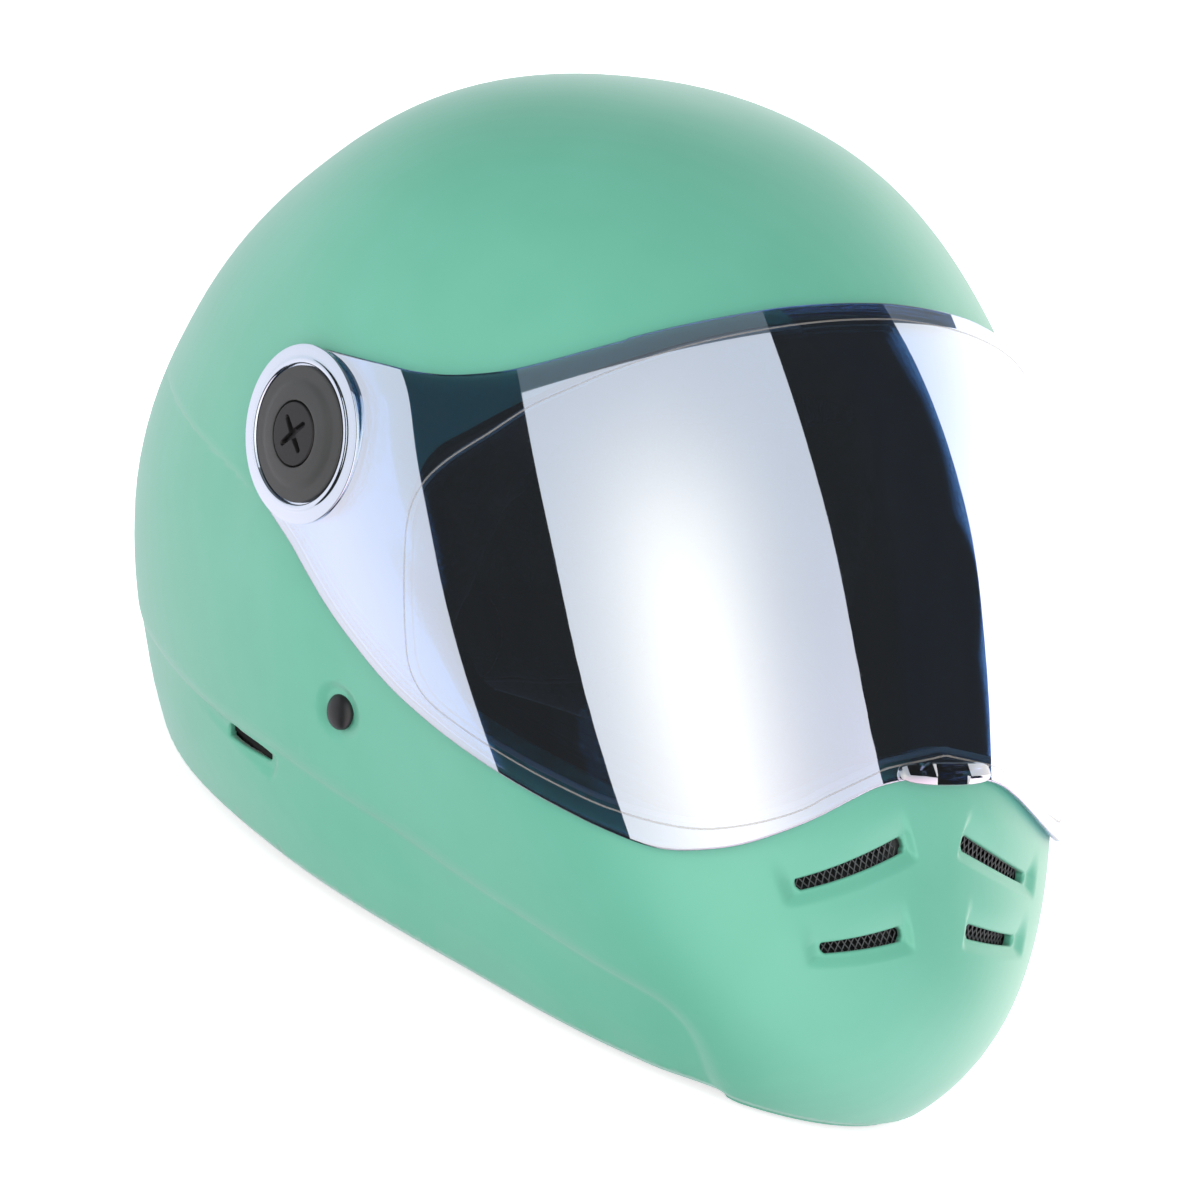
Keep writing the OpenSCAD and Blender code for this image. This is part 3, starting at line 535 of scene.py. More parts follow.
class Patch:
    """A triangulated piece of the left half of the skin, in disk places."""

    def __init__(self, rings: int = 34) -> None:
        """Lays triangles between this many rings of 6, 12, 18... places."""
        d, tri, start = [np.zeros((1, 2))], [], [0, 1]
        for k in range(1, rings + 1):
            t = 2 * math.pi * np.arange(6 * k) / (6 * k)
            d.append(np.column_stack([np.cos(t), np.sin(t)]) * k / rings)
            start.append(start[-1] + 6 * k)
        for k in range(1, rings + 1):
            for sec in range(6):
                for j in range(k):
                    o0 = start[k] + (sec * k + j) % (6 * k)
                    o1 = start[k] + (sec * k + j + 1) % (6 * k)
                    low = max(k - 1, 1)
                    i0 = start[k - 1] + (sec * (k - 1) + j) % (6 * low) if k > 1 else 0
                    tri.append((o0, o1, i0))
                    if j < k - 1:
                        i1 = start[k - 1] + (sec * (k - 1) + j + 1) % (6 * low)
                        tri.append((o1, i1, i0))
        self.d = np.concatenate(d)
        self.tri = np.array(tri)

    def edge_of_disk(self) -> Array:
        """Which places lie on the middle plane."""
        return np.hypot(self.d[:, 0], self.d[:, 1]) > 1 - 1e-9

    def _edges(self) -> tuple[Array, Array]:
        """Unique edges, and for each triangle the numbers of its three edges."""
        e = np.sort(self.tri[:, [[0, 1], [1, 2], [2, 0]]].reshape(-1, 2), 1)
        uniq, inv = np.unique(e[:, 0] * (len(self.d) + 1) + e[:, 1], return_inverse=True)
        pairs = np.column_stack([uniq // (len(self.d) + 1), uniq % (len(self.d) + 1)])
        return pairs, inv.reshape(-1, 3)

    def _between(self, pairs: Array, t: Array) -> Array:
        """Places at fraction t along edges, kept on the middle plane where both ends are."""
        rim = self.edge_of_disk()
        p = self.d[pairs[:, 0]] * (1 - t)[:, None] + self.d[pairs[:, 1]] * t[:, None]
        on = rim[pairs[:, 0]] & rim[pairs[:, 1]]
        p[on] /= np.hypot(p[on, 0], p[on, 1])[:, None]
        return p

    def refine(self, size: Callable[[Array], Array], passes: int = 6) -> "Patch":
        """Halves each edge that is longer than size at its middle, without open joints.

        Args:
            size: longest edge wanted at each point of the skin.
            passes: how many times, at most.

        Returns:
            The patch itself.
        """
        for _ in range(passes):
            pairs, te = self._edges()
            p = SKIN.point(self.d)
            length = np.linalg.norm(p[pairs[:, 0]] - p[pairs[:, 1]], axis=1)
            mid = self._between(pairs, np.full(len(pairs), 0.5))
            cut = length > size(SKIN.point(mid))
            if not cut.any():
                break
            number = np.full(len(pairs), -1)
            number[cut] = len(self.d) + np.arange(cut.sum())
            self.d = np.concatenate([self.d, mid[cut]])
            m = number[te]
            count = (m >= 0).sum(1)
            out = [self.tri[count == 0]]
            t, mm = self.tri[count == 1], m[count == 1]
            for k in range(3):
                s = mm[:, k] >= 0
                a, b, c, e = t[s, k], t[s, (k + 1) % 3], t[s, (k + 2) % 3], mm[s, k]
                out += [np.column_stack([a, e, c]), np.column_stack([e, b, c])]
            t, mm = self.tri[count == 2], m[count == 2]
            for k in range(3):
                s = mm[:, k] < 0
                a, b, c = t[s, k], t[s, (k + 1) % 3], t[s, (k + 2) % 3]
                e, f = mm[s, (k + 1) % 3], mm[s, (k + 2) % 3]
                out += [np.column_stack(x) for x in ([a, b, e], [a, e, f], [f, e, c])]
            (a, b, c), (e, f, g) = self.tri[count == 3].T, m[count == 3].T
            out += [np.column_stack(x) for x in ([a, e, g], [e, b, f], [g, f, c], [e, f, g])]
            self.tri = np.concatenate(out)
        return self

    def clip(self, cut: Callable[[Array], Array]) -> "Patch":
        """Keeps where cut is negative, with new corners exactly on its zero line.

        Args:
            cut: a field over points of the skin.

        Returns:
            The patch itself.
        """
        f = cut(SKIN.point(self.d))
        pairs, _ = self._edges()
        cross = f[pairs[:, 0]] * f[pairs[:, 1]] < 0
        pairs = pairs[cross]
        root = self._root(cut, pairs, f)
        rim = self.edge_of_disk()
        moved = np.zeros(len(self.d), bool)
        place = self._between(pairs, root)
        for k in np.argsort(np.minimum(root, 1 - root)):
            t = root[k]
            if min(t, 1 - t) > 0.22:
                break
            u, v = pairs[k] if t < 0.5 else pairs[k][::-1]
            if moved[u] or (rim[u] and not rim[v]):
                continue
            self.d[u], f[u], moved[u] = place[k], 0.0, True
        pairs, te = self._edges()
        cross = f[pairs[:, 0]] * f[pairs[:, 1]] < 0
        number = np.full(len(pairs), -1)
        number[cross] = len(self.d) + np.arange(cross.sum())
        root = self._root(cut, pairs[cross], f)
        self.d = np.concatenate([self.d, self._between(pairs[cross], root)])
        ft = f[self.tri]
        keep = (ft <= 0).all(1) & (ft < 0).any(1)
        mixed = (ft > 0).any(1) & (ft < 0).any(1)
        out = []
        for t, fv, e in zip(self.tri[mixed], ft[mixed], number[te[mixed]]):
            poly = []
            for k in range(3):
                if fv[k] <= 0:
                    poly.append(t[k])
                if e[k] >= 0:
                    poly.append(e[k])
            out += [(poly[0], poly[k], poly[k + 1]) for k in range(1, len(poly) - 1)]
        self.tri = np.concatenate([self.tri[keep]] + ([np.array(out)] if out else []))
        used, inv = np.unique(self.tri, return_inverse=True)
        self.d, self.tri = self.d[used], inv.reshape(-1, 3)
        return self

    def _root(self, cut: Callable[[Array], Array], pairs: Array, f: Array) -> Array:
        """Fraction along each edge at which cut is zero, by a guarded secant."""
        lo, hi = np.zeros(len(pairs)), np.ones(len(pairs))
        f_lo, f_hi = f[pairs[:, 0]].copy(), f[pairs[:, 1]].copy()
        t = f_lo / np.where(f_lo == f_hi, 1, f_lo - f_hi)
        for _ in range(5):
            if not len(pairs):
                break
            v = cut(SKIN.point(self._between(pairs, t)))
            same = v * f_lo > 0
            lo, f_lo = np.where(same, t, lo), np.where(same, v, f_lo)
            hi, f_hi = np.where(same, hi, t), np.where(same, f_hi, v)
            t = lo + (hi - lo) * np.clip(f_lo / np.where(f_lo == f_hi, 1, f_lo - f_hi), 0.02, 0.98)
        return np.clip(t, 0.001, 0.999)


@dataclass
class Surface:
    """Vertices, faces, normals and a material number for each face, in mm from the pivot."""

    v: Array
    f: list[Array]
    n: Optional[Array] = None
    mat: Optional[list[Array]] = None
    uv: Optional[Array] = None

    @staticmethod
    def joined(parts: Sequence["Surface"]) -> "Surface":
        """Several surfaces as one."""
        base, v, f, n, mat = 0, [], [], [], []
        for s in parts:
            v.append(s.v)
            f += [a + base for a in s.f]
            mat += s.mat if s.mat else [np.zeros(len(a), int) for a in s.f]
            n.append(s.n if s.n is not None else np.zeros_like(s.v))
            base += len(s.v)
        has = all(s.n is not None for s in parts)
        uv = [s.uv if s.uv is not None else np.zeros((len(s.v), 2)) for s in parts]
        return Surface(np.concatenate(v), f, np.concatenate(n) if has else None, mat,
                       np.concatenate(uv))

    def mirrored(self) -> "Surface":
        """The same on the other side."""
        flip = np.array([-1.0, 1, 1])
        return Surface(self.v * flip, [a[:, ::-1] for a in self.f],
                       None if self.n is None else self.n * flip, self.mat, self.uv)


def slab(patch: Patch, out: float, wall: float, edge_r: float,
         depth: Optional[Callable[[Array], Array]] = None, flat_rim: bool = False,
         inner_out: Optional[float] = None, steps: int = 4,
         shading: Optional[Skin] = None) -> Surface:
    """A wall over a patch, closed with rounded edges, both halves in one.

    Args:
        patch: the outer face, already trimmed back by edge_r from its true outline.
        out: distance of the outer face outside the skin.
        wall: thickness, inwards along the normal.
        edge_r: radius of the outer edge.
        depth: relief pressed into the outer face.
        flat_rim: turns the lowest edge straight down and in, for the rim to stand on.
        inner_out: offset of the inner face if it doesn't follow the relief.
        steps: facets of the rounded edge.
        shading: a smoother skin whose normals the outer face takes, for clean reflections.

    Returns:
        The surface, with material 0 outside, 1 on the edges and 2 inside.
    """

    def place(d: Array) -> Array:
        """The outer face's points at disk places."""
        base = SKIN.point(d)
        return SKIN.point(d, out - (depth(base) if depth else 0.0))

    def normals(fn: Callable[[Array], Array], d: Array) -> Array:
        """Unit normals of a face by central differences."""
        h = 0.0009
        ex, ey = np.array([h, 0.0]), np.array([0.0, h])
        return unit(np.cross(fn(d + ex) - fn(d - ex), fn(d + ey) - fn(d - ey)))

    d, tri = patch.d, patch.tri
    p, n = place(d), normals(place, d)
    rim = patch.edge_of_disk()
    p[rim, 0] = 0.0
    n[rim, 0] = 0.0
    n = unit(n)
    shown = n if shading is None else normals(lambda x: shading.point(x, out), d)
    shown[rim, 0] = 0.0
    shown = unit(shown)
    if inner_out is None:
        q, qn = p - n * wall, -n
    else:
        q = SKIN.point(d, inner_out)
        q[rim, 0] = 0.0
        qn = -normals(lambda x: SKIN.point(x, inner_out), d)
    e = tri[:, [[0, 1], [1, 2], [2, 0]]].reshape(-1, 2)
    key = np.sort(e, 1)
    code = key[:, 0] * (len(d) + 1) + key[:, 1]
    _, first, count = np.unique(code, return_index=True, return_counts=True)
    border = e[first[count == 1]]
    border = border[~(rim[border[:, 0]] & rim[border[:, 1]])]
    ring, inv = np.unique(border, return_inverse=True)
    inv = inv.reshape(-1, 2)
    along = unit(p[border[:, 1]] - p[border[:, 0]])
    tan, each = np.zeros((len(ring), 3)), np.cross(along, n[border[:, 0]])
    np.add.at(tan, inv[:, 0], each)
    np.add.at(tan, inv[:, 1], each)
    bn = n[ring].copy()
    tan[rim[ring], 0] = 0.0
    tan = unit(tan - bn * (tan * bn).sum(1, keepdims=True))
    if flat_rim:
        low = p[ring, 2] < RIM_Z + 2.5
        bn[low] = unit(bn[low] * [1, 1, 0])
        tan[low] = [0, 0, -1]
    b, bq = p[ring], q[ring]
    rows, row_n = [], []
    for k in range(1, steps + 1):
        t = math.pi / 2 * k / steps
        rows.append(b + tan * edge_r * math.sin(t) - bn * edge_r * (1 - math.cos(t)))
        row_n.append(unit(bn * math.cos(t) + tan * math.sin(t)))
    back = ((b - bq) * bn).sum(1, keepdims=True)
    r2 = min(edge_r, 0.4)
    rows += [b + tan * edge_r - bn * (back - r2), bq + tan * (edge_r - r2)]
    row_n += [unit(tan - bn * 0.2), unit(tan - bn * 3)]
    base, size = 2 * len(d), len(ring)
    lines = [ring] + [base + k * size + np.arange(size) for k in range(len(rows))]
    lines.append(ring + len(d))
    quads = [np.column_stack([x[inv[:, 0]], y[inv[:, 0]], y[inv[:, 1]], x[inv[:, 1]]])
             for x, y in zip(lines, lines[1:])]
    faces = [tri, tri[:, ::-1] + len(d)] + quads
    mats = [np.zeros(len(tri), int), np.full(len(tri), 2)] + [np.ones(len(x), int) for x in quads]
    half = Surface(np.concatenate([p, q] + rows), faces, np.concatenate([shown, qn] + row_n), mats)
    return Surface.joined([half, half.mirrored()])


# Meshes and paths


def linear(hexa: str) -> tuple[float, float, float, float]:
    """An sRGB colour such as 6dbaa1 as linear light."""
    c = [int(hexa[i:i + 2], 16) / 255 for i in (0, 2, 4)]
    return tuple(x / 12.92 if x <= 0.04045 else ((x + 0.055) / 1.055) ** 2.4 for x in c) + (1.0,)


def pivot_place() -> Array:
    """The pivot axis's middle in the row frame, in mm, from the visor's own joint."""
    joint = next(j for j in frame["joints"] if j["name"] == "visor_hinge")
    place = np.array(joint["pos_m"], float) * 1000
    place[0] = 0.0
    return place


PIVOT = pivot_place()


def coords(me: bpy.types.Mesh) -> Array:
    """A mesh's vertices."""
    out = np.zeros(len(me.vertices) * 3, np.float32)
    me.vertices.foreach_get("co", out)
    return out.reshape(-1, 3).astype(float)


def new_object(name: str, data: bpy.types.ID) -> bpy.types.Object:
    """An object at the origin, in the scene."""
    o = bpy.data.objects.new(name, data)
    bpy.context.scene.collection.objects.link(o)
    return o


def build(name: str, s: Surface, mats: Sequence[bpy.types.Material],
          stands_for: Sequence[str] = (), body: Body = Body.HELMET, sharp: Optional[float] = None,
          weld: float = 0.0) -> bpy.types.Object:
    """Makes a mesh object in the row frame and ties it to its body and CAD nodes.

    A surface without normals has its faces turned outwards.

    Args:
        name: the piece's name.
        s: its surface in mm from the pivot.
        mats: one material for each number in s.mat.
        stands_for: CAD nodes that it replaces.
        body: what it moves with.
        sharp: angle in degrees over which edges stay sharp.
        weld: distance in mm under which corners are joined.

    Returns:
        The new object.
    """
    v = (s.v + PIVOT) * MM
    f = [a for a in s.f if len(a)]
    mat = [m for m, a in zip(s.mat, s.f) if len(a)] if s.mat else [np.zeros(len(a), int) for a in f]
    n = s.n
    if weld:
        key = np.round(s.v / weld).astype(np.int64)
        off = np.abs(s.v[:, 0]) > weld
        key[off] = np.column_stack([np.arange(off.sum()) + 10**9, key[off][:, 1:]])
        _, index, inv = np.unique(key, axis=0, return_index=True, return_inverse=True)
        inv = inv.reshape(-1)
        v = v[index]
        if n is not None:
            total = np.zeros((len(index), 3))
            np.add.at(total, inv, n)
            n = unit(total)
        f = [inv[a] for a in f]
    loops = np.concatenate([a.reshape(-1) for a in f])
    sizes = np.concatenate([np.full(len(a), a.shape[1]) for a in f])
    me = bpy.data.meshes.new(name)
    me.vertices.add(len(v))
    me.vertices.foreach_set("co", v.astype(np.float32).ravel())
    me.loops.add(len(loops))
    me.loops.foreach_set("vertex_index", loops.astype(np.int32))
    me.polygons.add(len(sizes))
    starts = np.concatenate([[0], np.cumsum(sizes)[:-1]])
    me.polygons.foreach_set("loop_start", starts.astype(np.int32))
    me.polygons.foreach_set("loop_total", sizes.astype(np.int32))
    me.polygons.foreach_set("material_index", np.concatenate(mat).astype(np.int32))
    me.update(calc_edges=True)
    me.validate()
    if s.n is None:
        bm = bmesh.new()
        bm.from_mesh(me)
        bmesh.ops.recalc_face_normals(bm, faces=bm.faces)
        bm.to_mesh(me)
        bm.free()
    me.shade_smooth()
    if n is not None:
        me.normals_split_custom_set_from_vertices(n.astype(np.float32))
    elif sharp is not None:
        me.set_sharp_from_angle(angle=math.radians(sharp))
    if s.uv is not None and not weld:
        corners = np.zeros(len(me.loops), np.int32)
        me.loops.foreach_get("vertex_index", corners)
        layer = me.uv_layers.new(name="uv")
        layer.data.foreach_set("uv", s.uv[corners].astype(np.float32).ravel())
    for m in mats:
        me.materials.append(m)
    o = new_object(name, me)
    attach(o, body.value)
    if stands_for:
        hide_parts(*stands_for)
    return o


def lathe(profile: Sequence[Sequence[float]], side: Side, segments: int = 144,
          centre: Sequence[float] = (0.0, 0.0)) -> Surface:
    """Turns a profile of (radius, distance from the middle plane) about an axis along X.

    Args:
        profile: its corners.
        side: which side it is on.
        segments: facets round it.
        centre: y and z of the axis.

    Returns:
        The turned surface.
    """
    prof = np.array(profile, float)
    t = 2 * math.pi * np.arange(segments) / segments
    x = np.repeat(prof[:, 1] * side.value, segments).reshape(-1, segments)
    y = prof[:, :1] * np.cos(t) + centre[0]
    z = prof[:, :1] * np.sin(t) + centre[1]
    quads = grid_quads(len(prof), segments)
    return Surface(np.stack([x, y, z], -1).reshape(-1, 3),
                   [quads[:, ::-1] if side is Side.LEFT else quads])


def filleted(points: Sequence[Sequence[float]], steps: int = 4) -> list[tuple[float, float]]:
    """Rounds corners: each point is (r, h, radius), the corner becomes a quadratic curve.

    Args:
        points: corners, with no radius where they stay sharp.
        steps: facets of each rounded corner.

    Returns:
        The profile's points.
    """
    p = np.array([q[:2] for q in points], float)
    out: list[tuple[float, float]] = []
    for i, q in enumerate(points):
        rad = q[2] if len(q) > 2 else 0.0
        if i in (0, len(points) - 1) or rad == 0:
            out.append(tuple(p[i]))
            continue
        a, b = p[i - 1] - p[i], p[i + 1] - p[i]
        la, lb = np.linalg.norm(a), np.linalg.norm(b)
        ra = min(rad, la * 0.48, lb * 0.48)
        s, e = p[i] + a / la * ra, p[i] + b / lb * ra
        for k in range(steps + 1):
            u = k / steps
            out.append(tuple((1 - u) ** 2 * s + 2 * u * (1 - u) * p[i] + u * u * e))
    return out


def ring_profile(radius: float, sides: int) -> Array:
    """A round cross section."""
    t = np.linspace(0, 2 * math.pi, sides, endpoint=False)
    return radius * np.column_stack([np.cos(t), np.sin(t)])


def sweep(path: Array, across: Array, up: Array, profile: Array, closed: bool = False) -> Surface:
    """Carries a closed profile of (across, up) places along a path, with capped ends.

    Args:
        path: points in mm from the pivot.
        across: unit direction at each.
        up: the other unit direction.
        profile: the section's places.
        closed: joins the path's end to its start, without caps.

    Returns:
        The surface, with distances along and across it as UV places in metres.
    """
    rows = (path[:, None] + across[:, None] * profile[None, :, :1] + up[:, None]
            * profile[None, :, 1:2])
    m, k = rows.shape[:2]
    v = rows.reshape(-1, 3)
    run = lengths(path)
    uv = np.stack(np.broadcast_arrays(run[:, None], profile[None, :, 0]), -1).reshape(-1, 2) * MM
    f = [grid_quads(m, k, closed)]
    if not closed:
        for row, back in ((0, True), (m - 1, False)):
            mid = len(v)
            v = np.concatenate([v, rows[row].mean(0, keepdims=True)])
            uv = np.concatenate([uv, [[run[row] * MM, 0.0]]])
            jj = np.arange(k)
            fan = np.column_stack([row * k + jj, row * k + (jj + 1) % k, np.full(k, mid)])
            f.append(fan[:, ::-1] if back else fan)
    return Surface(v, f, uv=uv)


def around(points: Array) -> Array:
    """A left-half curve from the middle plane to the middle plane, closed with its mirror."""
    back = points[-2:0:-1] * [-1, 1, 1]
    return np.concatenate([points, back])


def even(path: Array, step: float, closed: bool = False) -> Array:
    """The path with points at even steps along it.

    Args:
        path: points.
        step: wanted distance in mm.
        closed: takes in the way back to the start.

    Returns:
        The new points.
    """
    p = np.concatenate([path, path[:1]]) if closed else path
    run = lengths(p)
    n = max(int(round(run[-1] / step)), 2)
    t = np.linspace(0, run[-1], n, endpoint=False) if closed else np.linspace(0, run[-1], n + 1)
    return np.stack([np.interp(t, run, p[:, k]) for k in range(p.shape[1])], 1)


def headings(path: Array, closed: bool = False) -> Array:
    """Unit tangents along a path."""
    if closed:
        return unit(np.roll(path, -1, 0) - np.roll(path, 1, 0))
    return unit(np.gradient(path, axis=0))


def sweep_over(path: Array, up: Array, profile: Array, closed: bool = False) -> Surface:
    """Carries a profile along a path that lies on a surface, given its outward directions."""
    return sweep(path, unit(np.cross(headings(path, closed), up)), up, profile, closed)


def skin_normals(path: Array) -> Array:
    """Outward directions of the skin near points of it."""
    q = np.abs(path[:, 0]) / HALF_W
    a = np.degrees(np.arctan2(path[:, 2], -path[:, 1]))
    n, reach = SKIN.power(a), SKIN.reach(a)
    r = np.hypot(path[:, 1], path[:, 2])
    h = 0.05
    slope = (SKIN.reach(a + h) - SKIN.reach(a - h)) / np.radians(2 * h)
    gx = np.sign(path[:, 0]) * q ** (n - 1) / HALF_W
    gr = (r / reach) ** (n - 1) / reach
    ga = -gr * slope / reach
    t = np.radians(a)
    radial = np.stack([np.zeros_like(t), -np.cos(t), np.sin(t)], 1)
    turn = np.stack([np.zeros_like(t), np.sin(t), np.cos(t)], 1)
    return unit(radial * gr[:, None] + turn * ga[:, None] + np.stack([gx, 0 * gx, 0 * gx], 1))


def band_on_skin(outline: Array, profile: Array, step: float = 2.0,
                 out: float = 0.0) -> Surface:
    """A closed strip along an outline on the skin grown by out, both halves.

    The profile's first place runs from the outline into the opening, its second outwards.
    """
    half = SKIN.on_unrolled(even(outline[SKIN.on_left(outline)], 1.5), out)
    half[[0, -1], 0] = 0.0
    path = even(around(half), step, closed=True)
    return sweep_over(path, skin_normals(path), profile, closed=True)


# Finishes


PRINCIPLED = "BsdfPrincipled"
NOISE_MIDDLE = (0.3, 0.7)   # where most of a noise's values lie
DRIFT_MM = 24.0             # patches over which a solid colour wanders


class Nodes:
    """The node tree of a material or a world."""

    def __init__(self, name: str, world: bool = False) -> None:
        """Starts with the output and the texture coordinates."""
        self.owner = (bpy.data.worlds if world else bpy.data.materials).new(name)
        self.owner.use_nodes = True
        self.tree = self.owner.node_tree
        self.tree.nodes.clear()
        self.end = self.add("OutputWorld" if world else "OutputMaterial")
        self.places = self.add("TexCoord").outputs

    def add(self, kind: str, sockets: dict | Sequence = (), **settings: object) -> bpy.types.Node:
        """Adds a node with its settings and links.

        Args:
            kind: its type after the word ShaderNode.
            sockets: inputs in order, or by name or number. Each is a value, an sRGB colour in
                hex, or a node or socket to join.
            settings: attributes to set first.

        Returns:
            The new node.
        """
        node = self.tree.nodes.new("ShaderNode" + kind)
        for key, value in settings.items():
            setattr(node, key, value)
        for key, value in sockets.items() if isinstance(sockets, dict) else enumerate(sockets):
            if isinstance(value, bpy.types.Node):
                value = value.outputs[0]
            if isinstance(value, bpy.types.NodeSocket):
                self.tree.links.new(value, node.inputs[key])
            else:
                node.inputs[key].default_value = linear(value) if isinstance(value, str) else value
        return node

    def done(self, shader: bpy.types.Node) -> bpy.types.Material | bpy.types.World:
        """Joins the last shader to the output and gives the finished material or world."""
        self.tree.links.new(shader.outputs[0], self.end.inputs["Surface"])
        return self.owner


@dataclass(frozen=True)
class Finish:
    """A solid finish: base colours and gloss with a fine grain.

    Attributes:
        name: what it is and how it is made.
        dark: one end of the colour's slight spread, sRGB hex.
        light: the other end.
        rough: middle roughness.
        spread: how far roughness wanders.
        grain_mm: size of the surface's grain.
        relief_mm: height of the grain.
        metal: 1 for bare metal.
        coat: weight of a clear coat.
        coat_rough: its roughness.
        sheen: weight of the pale bloom that a satin face shows where it turns away.
    """

    name: str
    dark: str
    light: str
    rough: float
    spread: float = 0.05
    grain_mm: float = 1.0
    relief_mm: float = 0.01
    metal: float = 0.0
    coat: float = 0.0
    coat_rough: float = 0.1
    sheen: float = 0.0

    def make(self) -> bpy.types.Material:
        """The material."""
        t = Nodes(self.name)
        at = t.places["Object"]
        drift = t.add("TexNoise", {"Vector": at, "Scale": 1 / (DRIFT_MM * MM), "Detail": 4.0})
        grain = t.add("TexNoise", {"Vector": at, "Scale": 1 / (self.grain_mm * MM), "Detail": 3.0})
        tone = t.add("MapRange", (drift, *NOISE_MIDDLE, 0.0, 1.0))
        colour = t.add("Mix", {0: tone, 6: self.dark, 7: self.light}, data_type="RGBA")
        rough = t.add("MapRange", (grain, *NOISE_MIDDLE, self.rough - self.spread,
                                   self.rough + self.spread))
        relief = t.add("Bump", {"Height": grain, "Strength": 1.0, "Distance": self.relief_mm * MM})
        return t.done(t.add(PRINCIPLED, {
            "Metallic": self.metal, "Base Color": colour.outputs[2], "Roughness": rough,
            "Coat Weight": self.coat, "Coat Roughness": self.coat_rough,
            "Sheen Weight": self.sheen, "Sheen Roughness": 0.4, "Normal": relief}))


@dataclass(frozen=True)
class MirrorPane:
    """Tinted polycarbonate with a blue-silver mirror coat that lets a little light through.

    The coat gives clear reflections with a cold tint; what lies behind shows dark and blue.
    """

    name: str = "mirror_coated_polycarbonate"
    reflect: float = 0.68
    tint: str = "b0daff"
    silver: str = "eef5fd"
    rough: float = 0.015

    def make(self) -> bpy.types.Material:
        """The material."""
        t = Nodes(self.name)
        at = t.places["Object"]
        clear = t.add("BsdfTransparent", {"Color": self.tint})
        haze = t.add("TexNoise", {"Vector": at, "Scale": 1 / (9.0 * MM), "Detail": 4.0})
        coat = t.add(PRINCIPLED, {
            "Metallic": 1.0, "Base Color": self.silver,
            "Roughness": t.add("MapRange", (haze, *NOISE_MIDDLE, self.rough, self.rough + 0.012))})
        turned = t.add("LayerWeight", {"Blend": 0.5}).outputs["Facing"]
        edge = t.add("MapRange", (turned, 0.35, 0.85, 0.0, 0.97 - self.reflect))
        drift = t.add("TexNoise", {"Vector": at, "Scale": 1 / (40.0 * MM), "Detail": 2.0})
        face = t.add("MapRange", (drift, *NOISE_MIDDLE, self.reflect - 0.01, self.reflect + 0.01))
        share = t.add("Math", (edge, face), operation="ADD", use_clamp=True)
        return t.done(t.add("MixShader", (share, clear, coat)))


@dataclass(frozen=True)
class ClearPlastic:
    """Moulded clear plastic, drawn as a see-through tint under a sharp surface gloss."""

    name: str
    tint: str
    gloss: float
    rough: float = 0.03

    def make(self) -> bpy.types.Material:
        """The material."""
        t = Nodes(self.name)
        clear = t.add("BsdfTransparent", {"Color": self.tint})
        haze = t.add("TexNoise", {"Vector": t.places["Object"], "Scale": 1 / (3.0 * MM),
                                  "Detail": 3.0})
        face = t.add("BsdfGlossy", {
            "Color": "f4f9ff",
            "Roughness": t.add("MapRange", (haze, *NOISE_MIDDLE, self.rough, self.rough + 0.02))})
        turned = t.add("LayerWeight", {"Blend": 0.35}).outputs["Fresnel"]
        share = t.add("MapRange", (turned, 0.0, 1.0, self.gloss, 1.0))
        return t.done(t.add("MixShader", (share, clear, face)))


@dataclass(frozen=True)
class Knit:
    """Brushed knit lining: rows of small loops in a soft pile, with painted highlight at each
    loop's middle and painted shade between loops.

    The loops are drawn a little coarser than real ones, so that they show.
    """

    name: str = "knit_lining_fabric"
    dark: str = "17191b"
    light: str = "2b2e31"
    pitch_mm: float = 1.1

    def make(self) -> bpy.types.Material:
        """The material."""
        t = Nodes(self.name)
        loops = t.add("TexVoronoi", {"Vector": t.places["Object"],
                                     "Scale": 1 / (self.pitch_mm * MM)})
        # Painted light and shade: lighter at each loop's middle, darker towards the hollows between
        # loops
        loop_shade = t.add("MapRange", (loops, 0.0, 0.7, 0.0, 1.0))
        colour = t.add("Mix", {0: loop_shade, 6: self.light, 7: self.dark}, data_type="RGBA")
        relief = t.add("Bump", {"Height": loops, "Strength": 1.0, "Distance": -0.25 * MM})
        return t.done(t.add(PRINCIPLED, {"Base Color": colour.outputs[2], "Roughness": 0.9,
                                         "Sheen Weight": 0.35, "Normal": relief}))


@dataclass(frozen=True)
class Woven:
    """Woven nylon webbing: ribs across the strap with a fine lengthwise twill, with painted
    highlight on the rib tops and painted shade in the grooves.
    """

    name: str = "woven_nylon_webbing"
    dark: str = "0e0f10"
    light: str = "2a2c2e"
    pitches_mm: tuple = (1.4, 1.0)

    def make(self) -> bpy.types.Material:
        """The material."""
        t = Nodes(self.name)
        along = t.add("SeparateXYZ", (t.places["UV"],)).outputs
        waves = []
        for k, pitch in enumerate(self.pitches_mm):
            turns = t.add("Math", (along[k], 2 * math.pi / (pitch * MM)), operation="MULTIPLY")
            waves.append(t.add("Math", (turns,), operation="SINE"))
        both = t.add("Math", waves, operation="MULTIPLY")
        ribs = t.add("MapRange", (both, -1.0, 1.0, 0.0, 1.0))
        # Painted light and shade: lighter where the ribs stand high, darker in the grooves
        colour = t.add("Mix", {0: ribs, 6: self.dark, 7: self.light}, data_type="RGBA")
        relief = t.add("Bump", {"Height": ribs, "Strength": 1.0, "Distance": 0.18 * MM})
        return t.done(t.add(PRINCIPLED, {"Base Color": colour.outputs[2], "Roughness": 0.75,
                                         "Sheen Weight": 0.2, "Normal": relief}))


